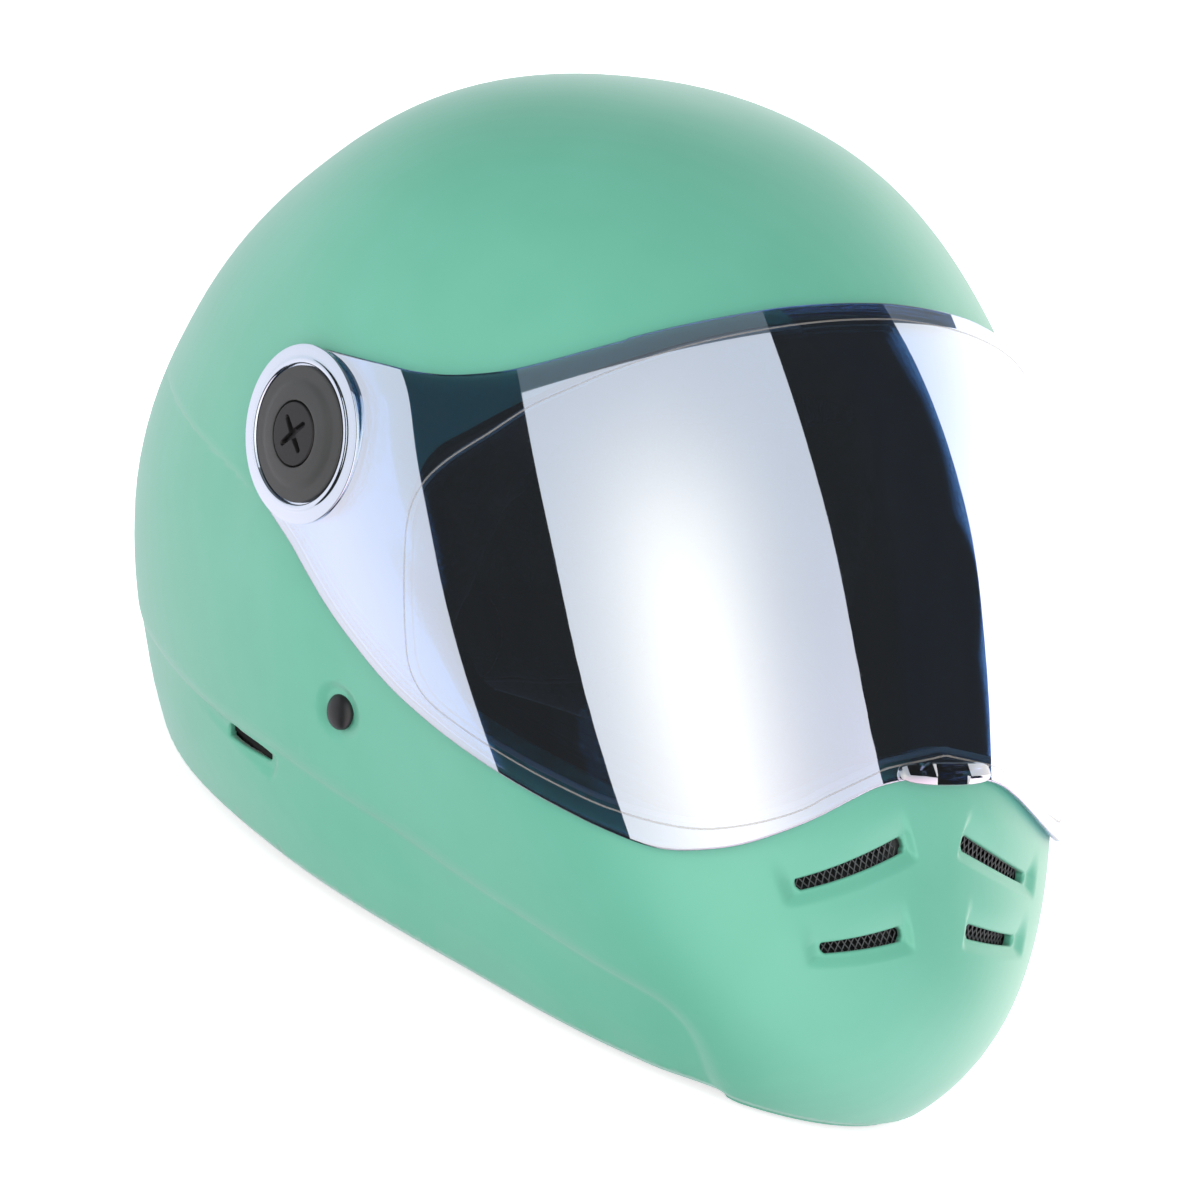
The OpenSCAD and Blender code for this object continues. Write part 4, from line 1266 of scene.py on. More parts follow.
@dataclass(frozen=True)
class Foam:
    """Expanded polystyrene: fused beads a few millimetres across with fine dark seams."""

    name: str = "expanded_foam_beads"
    dark: str = "1b1c1d"
    light: str = "303234"
    bead_mm: float = 3.2

    def make(self) -> bpy.types.Material:
        """The material."""
        t = Nodes(self.name)
        beads = t.add("TexVoronoi", {"Vector": t.places["Object"],
                                     "Scale": 1 / (self.bead_mm * MM)}, feature="DISTANCE_TO_EDGE")
        seam = t.add("MapRange", (beads, 0.0, 0.12, 0.0, 1.0))
        colour = t.add("Mix", {0: seam, 6: self.dark, 7: self.light}, data_type="RGBA")
        relief = t.add("Bump", {"Height": seam, "Strength": 1.0, "Distance": 0.12 * MM})
        return t.done(t.add(PRINCIPLED, {"Base Color": colour.outputs[2], "Roughness": 0.62,
                                         "Normal": relief}))


@dataclass(frozen=True)
class FaintLine:
    """Faint grey line: mostly see-through, so the pane's own look carries on through it."""

    name: str = "frosted_seal_line"
    dark: str = "c4bcb2"
    light: str = "cec6bc"
    cover: float = 0.3

    def make(self) -> bpy.types.Material:
        """The material."""
        t = Nodes(self.name)
        grain = t.add("TexNoise", {"Vector": t.places["Object"], "Scale": 1 / MM, "Detail": 3.0})
        colour = t.add("Mix", {0: grain, 6: self.dark, 7: self.light}, data_type="RGBA")
        grey = t.add(PRINCIPLED, {"Base Color": colour.outputs[2], "Roughness": 0.5})
        return t.done(t.add("MixShader", (self.cover, t.add("BsdfTransparent"), grey)))


FINISHES = {
    # Lacquer over moulded ABS: one even colour with broad soft highlights
    "paint": Finish("satin_mint_lacquer", "64ba9e", "68bda2", 0.5, 0.03, 0.6, 0.002, coat=0.7,
                    coat_rough=0.42, sheen=0.22),
    # Unpainted moulding: dark and dull
    "shell_inside": Finish("bare_moulded_shell_inside", "202223", "292b2c", 0.7),
    "foam": Foam(),
    # Moulded rubber: near black, with no clear highlight
    "rubber": Finish("moulded_black_rubber", "121313", "1b1c1c", 0.62, 0.06, 0.5, 0.02),
    "knit": Knit(),
    # Matt nylon: dark, with a broad weak highlight
    "plastic": Finish("matt_black_nylon", "1d1d1e", "252526", 0.42, 0.06, 0.35, 0.012),
    # Grained nylon: middle grey with a fine speckle
    "grey_plastic": Finish("grained_grey_nylon", "3a3b3b", "424343", 0.5, 0.06, 0.3, 0.015),
    # The same nylon, darker all over as painted shade, so that the slot reads black
    "screw_plastic": Finish("matt_black_screw_nylon", "131314", "19191a", 0.5, 0.06, 0.35, 0.012),
    # Mesh coloured near black as painted shade: reads as an open slot
    "dark_mesh": Finish("matt_black_mesh", "060606", "0a0a0a", 0.9, 0.04, 0.5, 0.02),
    # Painted wire: pale glints before the dark
    "wire": Finish("painted_wire_mesh", "5c5e60", "6a6c6e", 0.4, 0.05, 0.3, 0.004),
    # Acetal: clean white, faintly glossy
    "white": Finish("white_acetal_washer", "e4e4e0", "efefec", 0.35),
    # Nickel plate: bright, with sharp reflections
    "steel": Finish("nickel_plated_steel", "b9bbbd", "cfd1d3", 0.2, 0.05, 0.3, 0.004, metal=1.0),
    # Black oxide: dark metal with a soft glint
    "dark_metal": Finish("black_oxide_steel", "2c2d2e", "353637", 0.38, 0.05, 0.4, 0.006,
                         metal=0.6),
    "webbing": Woven(),
    # Rolled cord: a soft grey line round each pad
    "piping": Finish("rolled_piping_cord", "26282a", "303335", 0.7, 0.05, 0.5, 0.03),
    # Polyester thread: light dashes on dark cloth
    "thread": Finish("grey_polyester_thread", "5a5c5e", "75777a", 0.7, 0.05, 0.2, 0.03),
    "pane": MirrorPane(),
    # Bare back of the pane: hardly to be seen
    "pane_back": ClearPlastic("clear_polycarbonate_back", "f2f6fa", 0.0),
    # Polished edge: a bright thin line
    "pane_edge": ClearPlastic("polished_polycarbonate_edge", "dfeaf6", 0.35),
    # Thin film: only a faint gloss
    "lens": ClearPlastic("clear_anti_fog_film", "f4f7fa", 0.02),
    "line": FaintLine(),
    # Silicone: a warm pale bead
    "seal": Finish("silicone_seal_bead", "c9c3ba", "d2ccc4", 0.5, 0.04, 0.6, 0.01),
    # The pane's coat on a moulded ring: the same mirror, a little bluer
    "bezel": MirrorPane("mirror_coated_bezel", 0.86, "8fb4d6", "dfe9f4", 0.05),
    # Thick clear moulding: dark glass with bright edges
    "lip": ClearPlastic("clear_moulded_lip", "b9c6d4", 0.42, 0.05)}


class Finishes:
    """Every finish of the table, made once, under its own name."""

    def __init__(self) -> None:
        """Makes each finish."""
        for key, finish in FINISHES.items():
            setattr(self, key, finish.make())


# Shell


@dataclass
class Shell:
    """The painted shell with its creases, vents and openings.

    Attributes:
        fin: the finishes.
        edge_r: radius of its outer edges.
        pivot_hole: radius of the hole for the pivot's base.
        rivet_hole: radius of the strap rivet's hole.
    """

    fin: Finishes
    edge_r: float = 0.9
    pivot_hole: float = 17.4
    rivet_hole: float = 3.2

    def cuts(self) -> list[Callable[[Array], Array]]:
        """The openings, each a field that is positive inside it: port, rim, holes and slots.

        Port and rim are trimmed back by the edge's radius.
        """
        r = self.edge_r
        out = [lambda p: r - PORT.signed(SKIN.unrolled(p)),
               lambda p: RIM_Z + r - p[:, 2],
               lambda p: self.pivot_hole - side_distance(p),
               lambda p: self.rivet_hole - side_distance(p, RIVET),
               lambda p: 0.4 - ear_slot(p)]
        return out + [lambda p, v=v: 0.4 - v.slot(p) for v in CHIN_VENTS]

    def size(self, p: Array) -> Array:
        """Wanted edge length: fine at openings, creases and scoops."""
        q = SKIN.unrolled(p)
        fields = [(PORT.distance(q, 20.0), 2.2, 0.9, 1.5),
                  (np.abs(BAND.signed(q, 20.0) - 0.5), 1.0, 0.8, 1.5),
                  (np.abs(p[:, 2] - RIM_Z - 3), 2.6, 0.6, 1.5),
                  (CREASE.distance(q, 20.0), 1.8, 0.6, 1.5),
                  (np.abs(side_distance(p) - self.pivot_hole), 2.4, 0.8, 1.5),
                  (side_distance(p, RIVET), 0.8, 0.6, 7.0),
                  (np.abs(ear_slot(p)), 1.2, 0.5, 8.0)]
        fields += [(np.abs(v.slot(p)), 0.8, 0.3, 2.5) for v in CHIN_VENTS]
        return np.min([fine + grow * np.maximum(d - near, 0) for d, fine, grow, near in fields]
                      + [np.full(len(p), 9.0)], axis=0)

    def build(self) -> None:
        """Makes the shell."""
        patch = Patch().refine(self.size, 7)
        for cut in self.cuts():
            patch.clip(cut)
        s = slab(patch, 0.0, SHELL_WALL, self.edge_r, relief, flat_rim=True)
        build("painted_shell", s,
              [self.fin.paint, self.fin.paint, self.fin.shell_inside], ["outer_shell"], weld=WELD)


# Visor


@dataclass
class Visor:
    """Mirrored pane, anti-fog lens, its bead and the lifting lip.

    Attributes:
        fin: the finishes.
        edge_r: radius of the pane's outer edge.
        hole: radius of the pane's hole inside the bezel.
    """

    fin: Finishes
    edge_r: float = 0.55
    hole: float = 24.6

    def build(self) -> None:
        """Makes the visor's own pieces."""
        self._pane()
        self._lens()
        self._line()
        self._lip()

    def _pane(self) -> None:
        """The mirrored pane, its reflections those of a smoother skin."""
        def size(p: Array) -> Array:
            """Wanted edge length: fine at the outline and the hole."""
            q = SKIN.unrolled(p)
            d = np.minimum(PANE.distance(q, 20.0), np.abs(side_distance(p) - self.hole))
            fine = np.minimum(1.2 + 0.45 * np.maximum(d - 2, 0), 4.0)
            return np.where(PANE.signed(q, 20.0) < 6, fine, 14.0)

        patch = Patch().refine(size, 5)
        patch.clip(lambda p: PANE.signed(SKIN.unrolled(p)) + self.edge_r)
        patch.clip(lambda p: self.hole - side_distance(p))
        s = slab(patch, PANE_GAP + PANE_WALL, PANE_WALL, self.edge_r, inner_out=PANE_GAP,
                 shading=POLISHED)
        build("mirrored_visor_pane", s,
              [self.fin.pane, self.fin.pane_edge, self.fin.pane_back], ["visor_pane"], Body.VISOR,
              weld=WELD)

    def _lens(self) -> None:
        """The thin inner lens, within the bead."""
        def size(p: Array) -> Array:
            """Wanted edge length: fine at the outline."""
            d = SEAL_LINE.signed(SKIN.unrolled(p), 20.0)
            return np.where(d < 6, np.minimum(2.0 + 0.5 * np.abs(d), 8.0), 16.0)

        patch = Patch().refine(size, 4)
        patch.clip(lambda p: SEAL_LINE.signed(SKIN.unrolled(p)) + 0.2)
        s = slab(patch, 0.9, 0.6, 0.2, inner_out=0.3, steps=2)
        build("clear_anti_fog_lens", s, [self.fin.lens] * 3, ["anti_fog_lens"],
              Body.VISOR, weld=WELD)

    def _line(self) -> None:
        """The bead, its fine line showing at the pane's outer face."""
        top = PANE_GAP + PANE_WALL
        line = np.array([(-0.32, -0.12), (-0.26, 0.04), (0.26, 0.04), (0.32, -0.12)])
        bead = np.array([(-0.8, 1.0), (-0.8, 1.5), (0.8, 1.5), (0.8, 1.0)])
        build("lens_seal_line", band_on_skin(SEAL_LINE.a, line, 1.5, top),
              [self.fin.line], body=Body.VISOR)
        build("lens_seal_bead", band_on_skin(SEAL_LINE.a, bead, 1.5),
              [self.fin.seal], ["lens_seal"], Body.VISOR)

    def _lip(self) -> None:
        """A clear lip that bows out at the pane's lower edge, thinning to its ends."""
        half, reach, height, top_a = 18.2, 4.2, 4.3, -9.6
        u = np.linspace(-1, 1, 61)
        base = SKIN.front(half * u, top_a, PANE_GAP + PANE_WALL - 0.3)
        bow = np.sqrt(np.clip(1 - np.abs(u) ** 3.2, 0.0, 1))
        w = (0.35 + 0.65 * bow)[:, None]
        grip = np.where(np.abs(u) < 0.36, 0.16, 0.0)[:, None] * [0, 0, 1, 1, 0, 0, 0]
        forward = reach * w * (np.array([0, 0.2, 0.93, 1.0, 1.0, 0.9, 0]) - grip)
        rise = height * w * [1, 0.98, 0.36, 0.2, -0.2, -0.33, -0.33]
        rows = base[:, None] + np.stack([0 * rise, -forward, rise - 1.0], -1)
        m, k = rows.shape[:2]
        ends = [np.arange(k)[None], (m - 1) * k + np.arange(k)[None, ::-1]]
        s = Surface(rows.reshape(-1, 3), [grid_quads(m, k)] + ends)
        build("clear_lifting_lip", s, [self.fin.lip], ["visor_tab"], Body.VISOR,
              sharp=24)


# Pivots


@dataclass
class Pivots:
    """Bezel, cap, cross-slotted screw and the parts behind them.

    Attributes:
        fin: the finishes.
        rim: distance of the bezel's outer face from the middle plane.
        screw_r: radius of the screw's head.
        slot_turn: angle of the cross slot, in degrees.
        slot_half: half length of its arms.
        slot_depth: its depth.
    """

    fin: Finishes
    rim: float = HALF_W + 4.1
    screw_r: float = 9.5
    slot_turn: float = 38.0
    slot_half: float = 5.6
    slot_depth: float = 1.5

    def build(self) -> None:
        """Makes both sides."""
        for side in Side:
            self._bezel(side)
            self._cap(side)
            self._screw(side)
            for node, slot, mat in (("pivot_base_", "black_plastic", self.fin.plastic),
                                    ("pivot_nut_", "plated_steel", self.fin.steel),
                                    ("pivot_washer_", "white_plastic", self.fin.white)):
                show_node(node + side.word, mat)

    def _bezel(self, side: Side) -> None:
        """The ring on the visor, with a bright outer lip."""
        w, rim = HALF_W, self.rim
        prof = filleted([(9.6, w + 1.3), (21.5, w + 1.3), (21.5, w + 0.3), (24.5, w + 0.3, 0.2),
                         (24.6, w + 1.9, 0.3), (26.4, w + 2.0, 0.3), (26.6, w + 3.2, 0.4),
                         (24.2, w + 3.45, 0.6), (22.9, rim - 0.5, 0.5), (22.3, rim, 0.35),
                         (21.2, rim, 0.3), (20.75, rim - 0.6, 0.2), (20.7, w + 2.5),
                         (9.6, w + 2.5), (9.6, w + 1.3)])
        build(f"visor_bezel_{side.word}", lathe(prof, side), [self.fin.bezel],
              [f"visor_plate_{side.word}"], Body.VISOR, sharp=40)

    def _cap(self, side: Side) -> None:
        """The dished cap in the bezel, with a seat for the screw's head."""
        rim = self.rim
        prof = filleted([(4.0, rim - 1.5), (20.2, rim - 1.5), (20.2, rim - 0.4, 0.3),
                         (19.8, rim - 0.1, 0.4), (16.4, rim + 0.2, 0.7), (14.6, rim + 1.2, 1.0),
                         (11.2, rim + 1.75, 0.8), (self.screw_r + 0.45, rim + 1.8, 0.25),
                         (self.screw_r + 0.35, rim - 0.5), (4.0, rim - 0.5), (4.0, rim - 1.5)])
        build(f"pivot_cap_dome_{side.word}", lathe(prof, side),
              [self.fin.grey_plastic], [f"pivot_cap_{side.word}"], sharp=40)

    def _screw(self, side: Side) -> None:
        """A disc head with a cross slot: its face is one height field over rings and spokes."""
        rings, spokes, top = 64, 240, HALF_W + 6.2
        r = np.linspace(0.0, self.screw_r - 0.35, rings)
        t = 2 * math.pi * np.arange(spokes) / spokes
        y, z = r[:, None] * np.cos(t), r[:, None] * np.sin(t)
        dist = np.full(y.shape, 9.0)
        for turn in (self.slot_turn, self.slot_turn + 90):
            c, s = math.cos(math.radians(turn)), math.sin(math.radians(turn))
            along, off = y * c + z * s, -y * s + z * c
            end = np.maximum(np.abs(along) - self.slot_half, 0)
            dist = np.minimum(dist, np.hypot(end, off) - (1.15 - 0.07 * np.abs(along)))
        x = (top - 0.22 * (r[:, None] / self.screw_r) ** 2
             - self.slot_depth * (1 - smooth(dist, -0.28, 0.12)))
        v = [np.stack([x * side.value, y, z], -1).reshape(-1, 3)]
        shank = ((self.screw_r - 0.12, top - 0.42), (self.screw_r, top - 0.75),
                 (self.screw_r, HALF_W + 3.75), (3.0, HALF_W + 3.75), (3.0, HALF_W - 9.6))
        for br, bx in shank:
            v.append(np.stack([np.full(spokes, bx * side.value), br * np.cos(t),
                               br * np.sin(t)], -1))
        total = rings + len(shank)
        end = ((total - 1) * spokes + np.arange(spokes))[None]
        s = Surface(np.concatenate(v), [grid_quads(total, spokes)[:, BACKWARDS], end])
        # The head's darker finish is painted shade that makes the cross slot read black
        build(f"pivot_screw_head_{side.word}", s, [self.fin.screw_plastic],
              [f"pivot_screw_{side.word}"], Body[f"SCREW_{side.name}"], sharp=50, weld=0.0005)


def show_node(node: str, mat: bpy.types.Material) -> bpy.types.Object:
    """Finishes a CAD node that is shown as it is."""
    o = frame["nodes"][node]
    o.data.materials.clear()
    o.data.materials.append(mat)
    LOG.info("%s stays as the CAD has it", node)
    return o


# Trims, meshes and rivets


@dataclass
class Trims:
    """Rubber round the eye port and the rim, meshes behind the vents, and the strap rivets.

    Attributes:
        fin: the finishes.
        rim_z: lowest and highest place of the rim's edging.
        wire_r: radius of the chin mesh's wires.
        wire_step: from one wire to the next, along the slot.
        guard_z: height of the breath deflector's middle.
        guard_half: its half width and half height.
        guard_corner: radius of its corners.
        groove_step: from one of its grooves to the next.
    """

    fin: Finishes
    rim_z: tuple = (-136.9, -131.0)
    wire_r: float = 0.2
    wire_step: float = 2.3
    guard_z: float = -68.0
    guard_half: tuple = (47.0, 19.0)
    guard_corner: float = 8.0
    groove_step: float = 11.0

    def build(self) -> None:
        """Makes the trims."""
        self._gasket()
        self._rim()
        self._chin_meshes()
        self._rivets()
        self._guard()
        for side in Side:
            # The vent mesh is near black as painted shade, so the slot reads open
            show_node(f"ear_vent_mesh_{side.word}", self.fin.dark_mesh)
            show_node(f"rivet_washer_{side.word}", self.fin.steel)

    def _gasket(self) -> None:
        """A rubber channel whose lip sits just proud of the port's edge."""
        profile = np.array([(0.1, 0.3), (0.5, 0.55), (1.3, 0.55), (1.9, 0.1), (2.1, -0.8),
                            (2.1, -5.8), (1.8, -6.4), (0.6, -6.4), (0.1, -6.0)])
        s = band_on_skin(np.roll(PORT.a, 2, axis=0), profile, 2.0)
        build("eye_port_rubber_channel", s, [self.fin.rubber],
              ["eye_port_gasket"], sharp=50)

    def _rim(self) -> None:
        """Soft edging that follows the inside of the lower rim."""
        patch = Patch(30).refine(
            lambda p: 2.4 + 0.6 * np.maximum(np.abs(p[:, 2] + 134) - 7, 0), 6)
        patch.clip(lambda p: p[:, 2] - self.rim_z[1])
        patch.clip(lambda p: self.rim_z[0] - p[:, 2])
        s = slab(patch, -SHELL_WALL - 0.15, 2.2, 0.6, relief)
        build("rim_edging", s, [self.fin.rubber] * 3, ["rim_trim"], weld=WELD)

    def _chin_meshes(self) -> None:
        """Diamond mesh: thin crossing ribs, each a small tube along the shell's inner side."""
        tube = ring_profile(self.wire_r, 6)
        for side in Side:
            parts = []
            for vent in CHIN_VENTS:
                cx, cz = vent.heading()
                tall = vent.inner_h + 2.2
                for lean in (-1, 1):
                    for start in np.arange(-tall - 2, vent.length + tall + 2, self.wire_step):
                        up = np.linspace(-tall, tall, 7)
                        along = start + lean * up * 0.75
                        ok = (along > -1.6) & (along < vent.length + 1.6)
                        if ok.sum() < 3:
                            continue
                        up, along = up[ok], along[ok]
                        x = vent.x + along * cx - up * cz
                        z = vent.z + along * cz + up * cx
                        base = SKIN.front_point(x, z)
                        n = skin_normals(base)
                        path = base - n * (relief(base) + SHELL_WALL + 0.45 + 0.1 * lean)[:, None]
                        path[:, 0] *= side.value
                        n[:, 0] *= side.value
                        parts.append(sweep_over(path, n, tube))
            build(f"chin_vent_mesh_{side.word}", Surface.joined(parts),
                  [self.fin.wire], [f"chin_mesh_{side.word}"], sharp=60)

    def _rivets(self) -> None:
        """Domed heads in shallow seats."""
        x = float(SKIN.side_x(RIVET[0], RIVET[1]))
        for side in Side:
            dome = [(5.5 * math.cos(math.radians(t)), x - 1.1 + 2.9 * math.sin(math.radians(t)))
                    for t in range(90, -1, -6)]
            dome[0] = (0.001, dome[0][1])
            prof = dome + [(5.5, x - 1.7), (2.75, x - 1.7), (2.75, x - 10.6), (4.5, x - 10.6),
                           (4.5, x - 11.9), (0.001, x - 11.9)]
            build(f"strap_rivet_dome_{side.word}", lathe(prof, side, 96, RIVET),
                  [self.fin.dark_metal], [f"strap_rivet_{side.word}"], sharp=40)

    def _guard(self) -> None:
        """Thin moulded deflector behind the mouth."""
        def field(p: Array) -> Array:
            """Distance from the deflector's outline in front view, negative inside."""
            box = rounded_box(p[:, 0], p[:, 2] - self.guard_z, *self.guard_half,
                              self.guard_corner)
            return np.where(p[:, 1] < -90, box, 60.0)

        def grooves(p: Array) -> Array:
            """Depth of the level grooves."""
            step = self.groove_step
            row = np.abs((p[:, 2] - self.guard_z) % step - step / 2)
            return 0.9 * smooth(row, 3.2, 4.2) * smooth(-field(p), 5.0, 7.0)

        patch = Patch(30).refine(lambda p: 1.4 + 0.5 * np.maximum(np.abs(field(p) + 8) - 10, 0), 5)
        patch.clip(field)
        s = slab(patch, -23.6, 1.8, 0.5, grooves)
        build("breath_deflector", s, [self.fin.plastic] * 3, ["breath_guard"],
              weld=WELD)


# Liners and pads

HEAD_HALF = (79.0, 93.0, 95.0)      # the worn head's half width, length and height
HEAD_BACK, HEAD_DROP, WEAR_LEAN = 17.0, 26.0, math.radians(20.0)
BACK_GROW = 7.1                     # from the head to the pads' backs
EDGE_GROW = 5.2                     # from the head to the pads' piping
CHEEK_WALL = 22.0


def as_worn(p: Array) -> Array:
    """Turns places laid out round the worn head into the helmet's own frame."""
    y, z = p[..., 1] + HEAD_BACK, p[..., 2] - HEAD_DROP
    c, s = math.cos(-WEAR_LEAN), math.sin(-WEAR_LEAN)
    return np.stack([p[..., 0], y * c - z * s, y * s + z * c], -1)


@dataclass(frozen=True)
class Pad:
    """A sewn pad.

    Attributes:
        node: its CAD node, whose form the cloth starts from.
        place: from outline place u and v, each -1 to 1, and growth off the head, to points.
        lobes: stuffed channels across it.
        push: pressure in the simulation.
    """

    node: str
    place: Callable[[Array, Array, float], Array]
    lobes: int
    push: float = 4.0


def crown_place(u: Array, v: Array, grow: float) -> Array:
    """The crown pad over the top of the head."""
    x, y = u * 46, v * 62
    w, l, h = (half + grow for half in HEAD_HALF)
    q = (x / w) ** 2 + (y / l) ** 2
    return as_worn(np.stack([x, y, h * np.sqrt(np.clip(1 - q, 0, 1))], -1))


def band_place(middle: float, half: float, z0: float, half_z: float) -> Callable:
    """A pad round the head: u runs about it and v up it."""
    def place(u: Array, v: Array, grow: float) -> Array:
        """The pad's points: an ellipse round the head that closes in with height."""
        a, z = np.radians(middle + u * half), z0 + v * half_z
        w, l, h = (size + grow for size in HEAD_HALF)
        q = np.where(z <= 0, 1.0, np.sqrt(np.clip(1 - (z / h) ** 2, 0, 1)))
        return as_worn(np.stack([w * q * np.sin(a), -l * q * np.cos(a), z + 0 * a], -1))
    return place


def cheek_place(side: Side) -> Callable:
    """A cheek pad against the chin foam or beside the head, whichever is nearer the middle."""
    def place(u: Array, v: Array, grow: float) -> Array:
        """The pad's points, on a flat grid in side view."""
        y, z = -48 + u * 44, -86 + v * 28
        w, l, _ = (size + BACK_GROW for size in HEAD_HALF)
        across = (y * math.cos(WEAR_LEAN) - z * math.sin(WEAR_LEAN) - HEAD_BACK) / l
        head = w * np.sqrt(np.clip(1 - across**2, 0, 1))
        x = np.minimum(head, SKIN.side_x(y, z, -24.0)) - (BACK_GROW - grow) * CHEEK_WALL / BACK_GROW
        return np.stack([side.value * x, y, z], -1)
    return place


def rounded(u: Array, v: Array) -> tuple[Array, Array]:
    """Pulls a square's corners in."""
    return u * np.sqrt(1 - 0.32 * v * v), v * np.sqrt(1 - 0.32 * u * u)


@dataclass
class Padding:
    """Foam liners and the sewn comfort pads.

    Attributes:
        fin: the finishes.
        voxel_mm: cell size that the CAD pad's form is remeshed with.
        cap_mm: how far the simulation may move the cloth.
        frames: length of the simulation.
    """

    fin: Finishes
    voxel_mm: float = 3.4
    cap_mm: float = 2.2
    frames: int = 20

    def pads(self) -> list[Pad]:
        """The five pads."""
        return [Pad("crown_pad", crown_place, 3), Pad("brow_pad", band_place(0, 58, 48, 13), 3),
                Pad("neck_roll", band_place(180, 62, -40, 17), 4),
                Pad("cheek_pad_right", cheek_place(Side.RIGHT), 2),
                Pad("cheek_pad_left", cheek_place(Side.LEFT), 2)]

    def build(self) -> None:
        """Makes liners and pads."""
        for node in ("crown_liner", "chin_liner"):
            o = show_node(node, self.fin.foam)
            remesh = o.modifiers.new("moulded_skin", "REMESH")
            remesh.mode, remesh.voxel_size = "VOXEL", 3.0 * MM
            remesh.use_smooth_shade = True
            relax = o.modifiers.new("moulded_rounding", "SMOOTH")
            relax.factor, relax.iterations = 0.5, 8
        for pad in self.pads():
            o = self._cloth(pad)
            self._seams(pad, o)

    def _cloth(self, pad: Pad) -> bpy.types.Object:
        """The CAD pad's form, filled out as cloth under pressure, then fixed as a mesh."""
        src = frame["nodes"][pad.node]
        me = src.data.copy()
        me.transform(src.matrix_world)
        o = new_object(pad.node + "_fabric", me)
        remesh = o.modifiers.new("remesh", "REMESH")
        remesh.mode, remesh.voxel_size = "VOXEL", self.voxel_mm * MM
        self._apply(o)
        rest = coords(o.data)
        cloth = o.modifiers.new("cloth", "CLOTH")
        c = cloth.settings
        c.quality, c.mass = 5, 0.3
        c.tension_stiffness = c.compression_stiffness = 25
        c.bending_stiffness = 0.4
        c.use_pressure, c.uniform_pressure_force = True, pad.push
        c.effector_weights.gravity = 0.0
        cloth.point_cache.frame_start, cloth.point_cache.frame_end = 1, self.frames
        scene = bpy.context.scene
        for f in range(1, self.frames + 1):
            scene.frame_set(f)
        self._apply(o)
        scene.frame_set(1)
        move = coords(o.data) - rest
        length = np.linalg.norm(move, axis=1, keepdims=True)
        rest = rest + move * np.minimum(1, self.cap_mm * MM / np.maximum(length, 1e-9))
        o.data.vertices.foreach_set("co", rest.astype(np.float32).ravel())
        relax = o.modifiers.new("relax", "SMOOTH")
        relax.factor, relax.iterations = 0.5, 4
        fine = o.modifiers.new("fine", "SUBSURF")
        fine.levels = fine.render_levels = 1
        self._apply(o)
        o.data.materials.clear()
        o.data.materials.append(self.fin.knit)
        o.data.shade_smooth()
        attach(o, Body.HELMET.value)
        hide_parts(pad.node)
        return o

    @staticmethod
    def _apply(o: bpy.types.Object) -> None:
        """Fixes an object's modifiers into its mesh."""
        graph = bpy.context.evaluated_depsgraph_get()
        me = bpy.data.meshes.new_from_object(o.evaluated_get(graph), depsgraph=graph)
        o.modifiers.clear()
        o.data = me

    def _seams(self, pad: Pad, o: bpy.types.Object) -> None:
        """Piping round the outline and a sewn line along each channel, laid on the fabric."""
        tree = BVHTree.FromPolygons([tuple(c) for c in coords(o.data).tolist()],
                                    [tuple(f.vertices) for f in o.data.polygons])

        def on_fabric(path: Array, lift: float) -> tuple[Array, Array]:
            """The nearest points of the fabric, lifted off it, and its normals there."""
            found = [tree.find_nearest(Vector((q + PIVOT) * MM)) for q in path]
            normal = unit(np.array([tuple(f[1]) for f in found]))
            place = np.array([tuple(f[0]) for f in found]) / MM - PIVOT
            return place + normal * lift, normal

        u = np.linspace(-1, 1, 48)
        one = np.ones_like(u)
        loop = np.concatenate([np.column_stack([u, -one]), np.column_stack([one, u])[1:],
                               np.column_stack([u[::-1], one])[1:],
                               np.column_stack([-one, u[::-1]])[1:-1]])
        path = even(pad.place(*rounded(loop[:, 0], loop[:, 1]), EDGE_GROW), 2.5, closed=True)
        path, up = on_fabric(path, 0.1)
        for _ in range(3):
            path = (path + np.roll(path, 1, 0) + np.roll(path, -1, 0)) / 3
            up = unit(up + np.roll(up, 1, 0) + np.roll(up, -1, 0))
        build(pad.node + "_piping", sweep_over(path, up, ring_profile(0.95, 8), closed=True),
              [self.fin.piping])
        parts = []
        for k in range(1, pad.lobes):
            v = np.linspace(-0.8, 0.8, 60)
            line = even(pad.place(*rounded(np.full_like(v, 2 * k / pad.lobes - 1), v), 2.6), 0.9)
            line, up = on_fabric(line, 0.12)
            parts += [sweep_over(line[i:i + 4], up[i:i + 4], ring_profile(0.28, 5))
                      for i in range(0, len(line) - 4, 4)]
        build(pad.node + "_stitches", Surface.joined(parts),
              [self.fin.thread])


# Straps

STRAP_T = 2.0
STRAP_INSET = 8.1                   # from the skin at the rivets, through shell and washer
EDGE_HALF = 10.395                  # half width, which leaves the swung D-rings' arcs free
BAR_Z, ROD_R = -120.0, 1.5          # height of the D-rings' bars, and their radius
FORWARD = [0.0, 1.0, 0.0]           # across the webbing


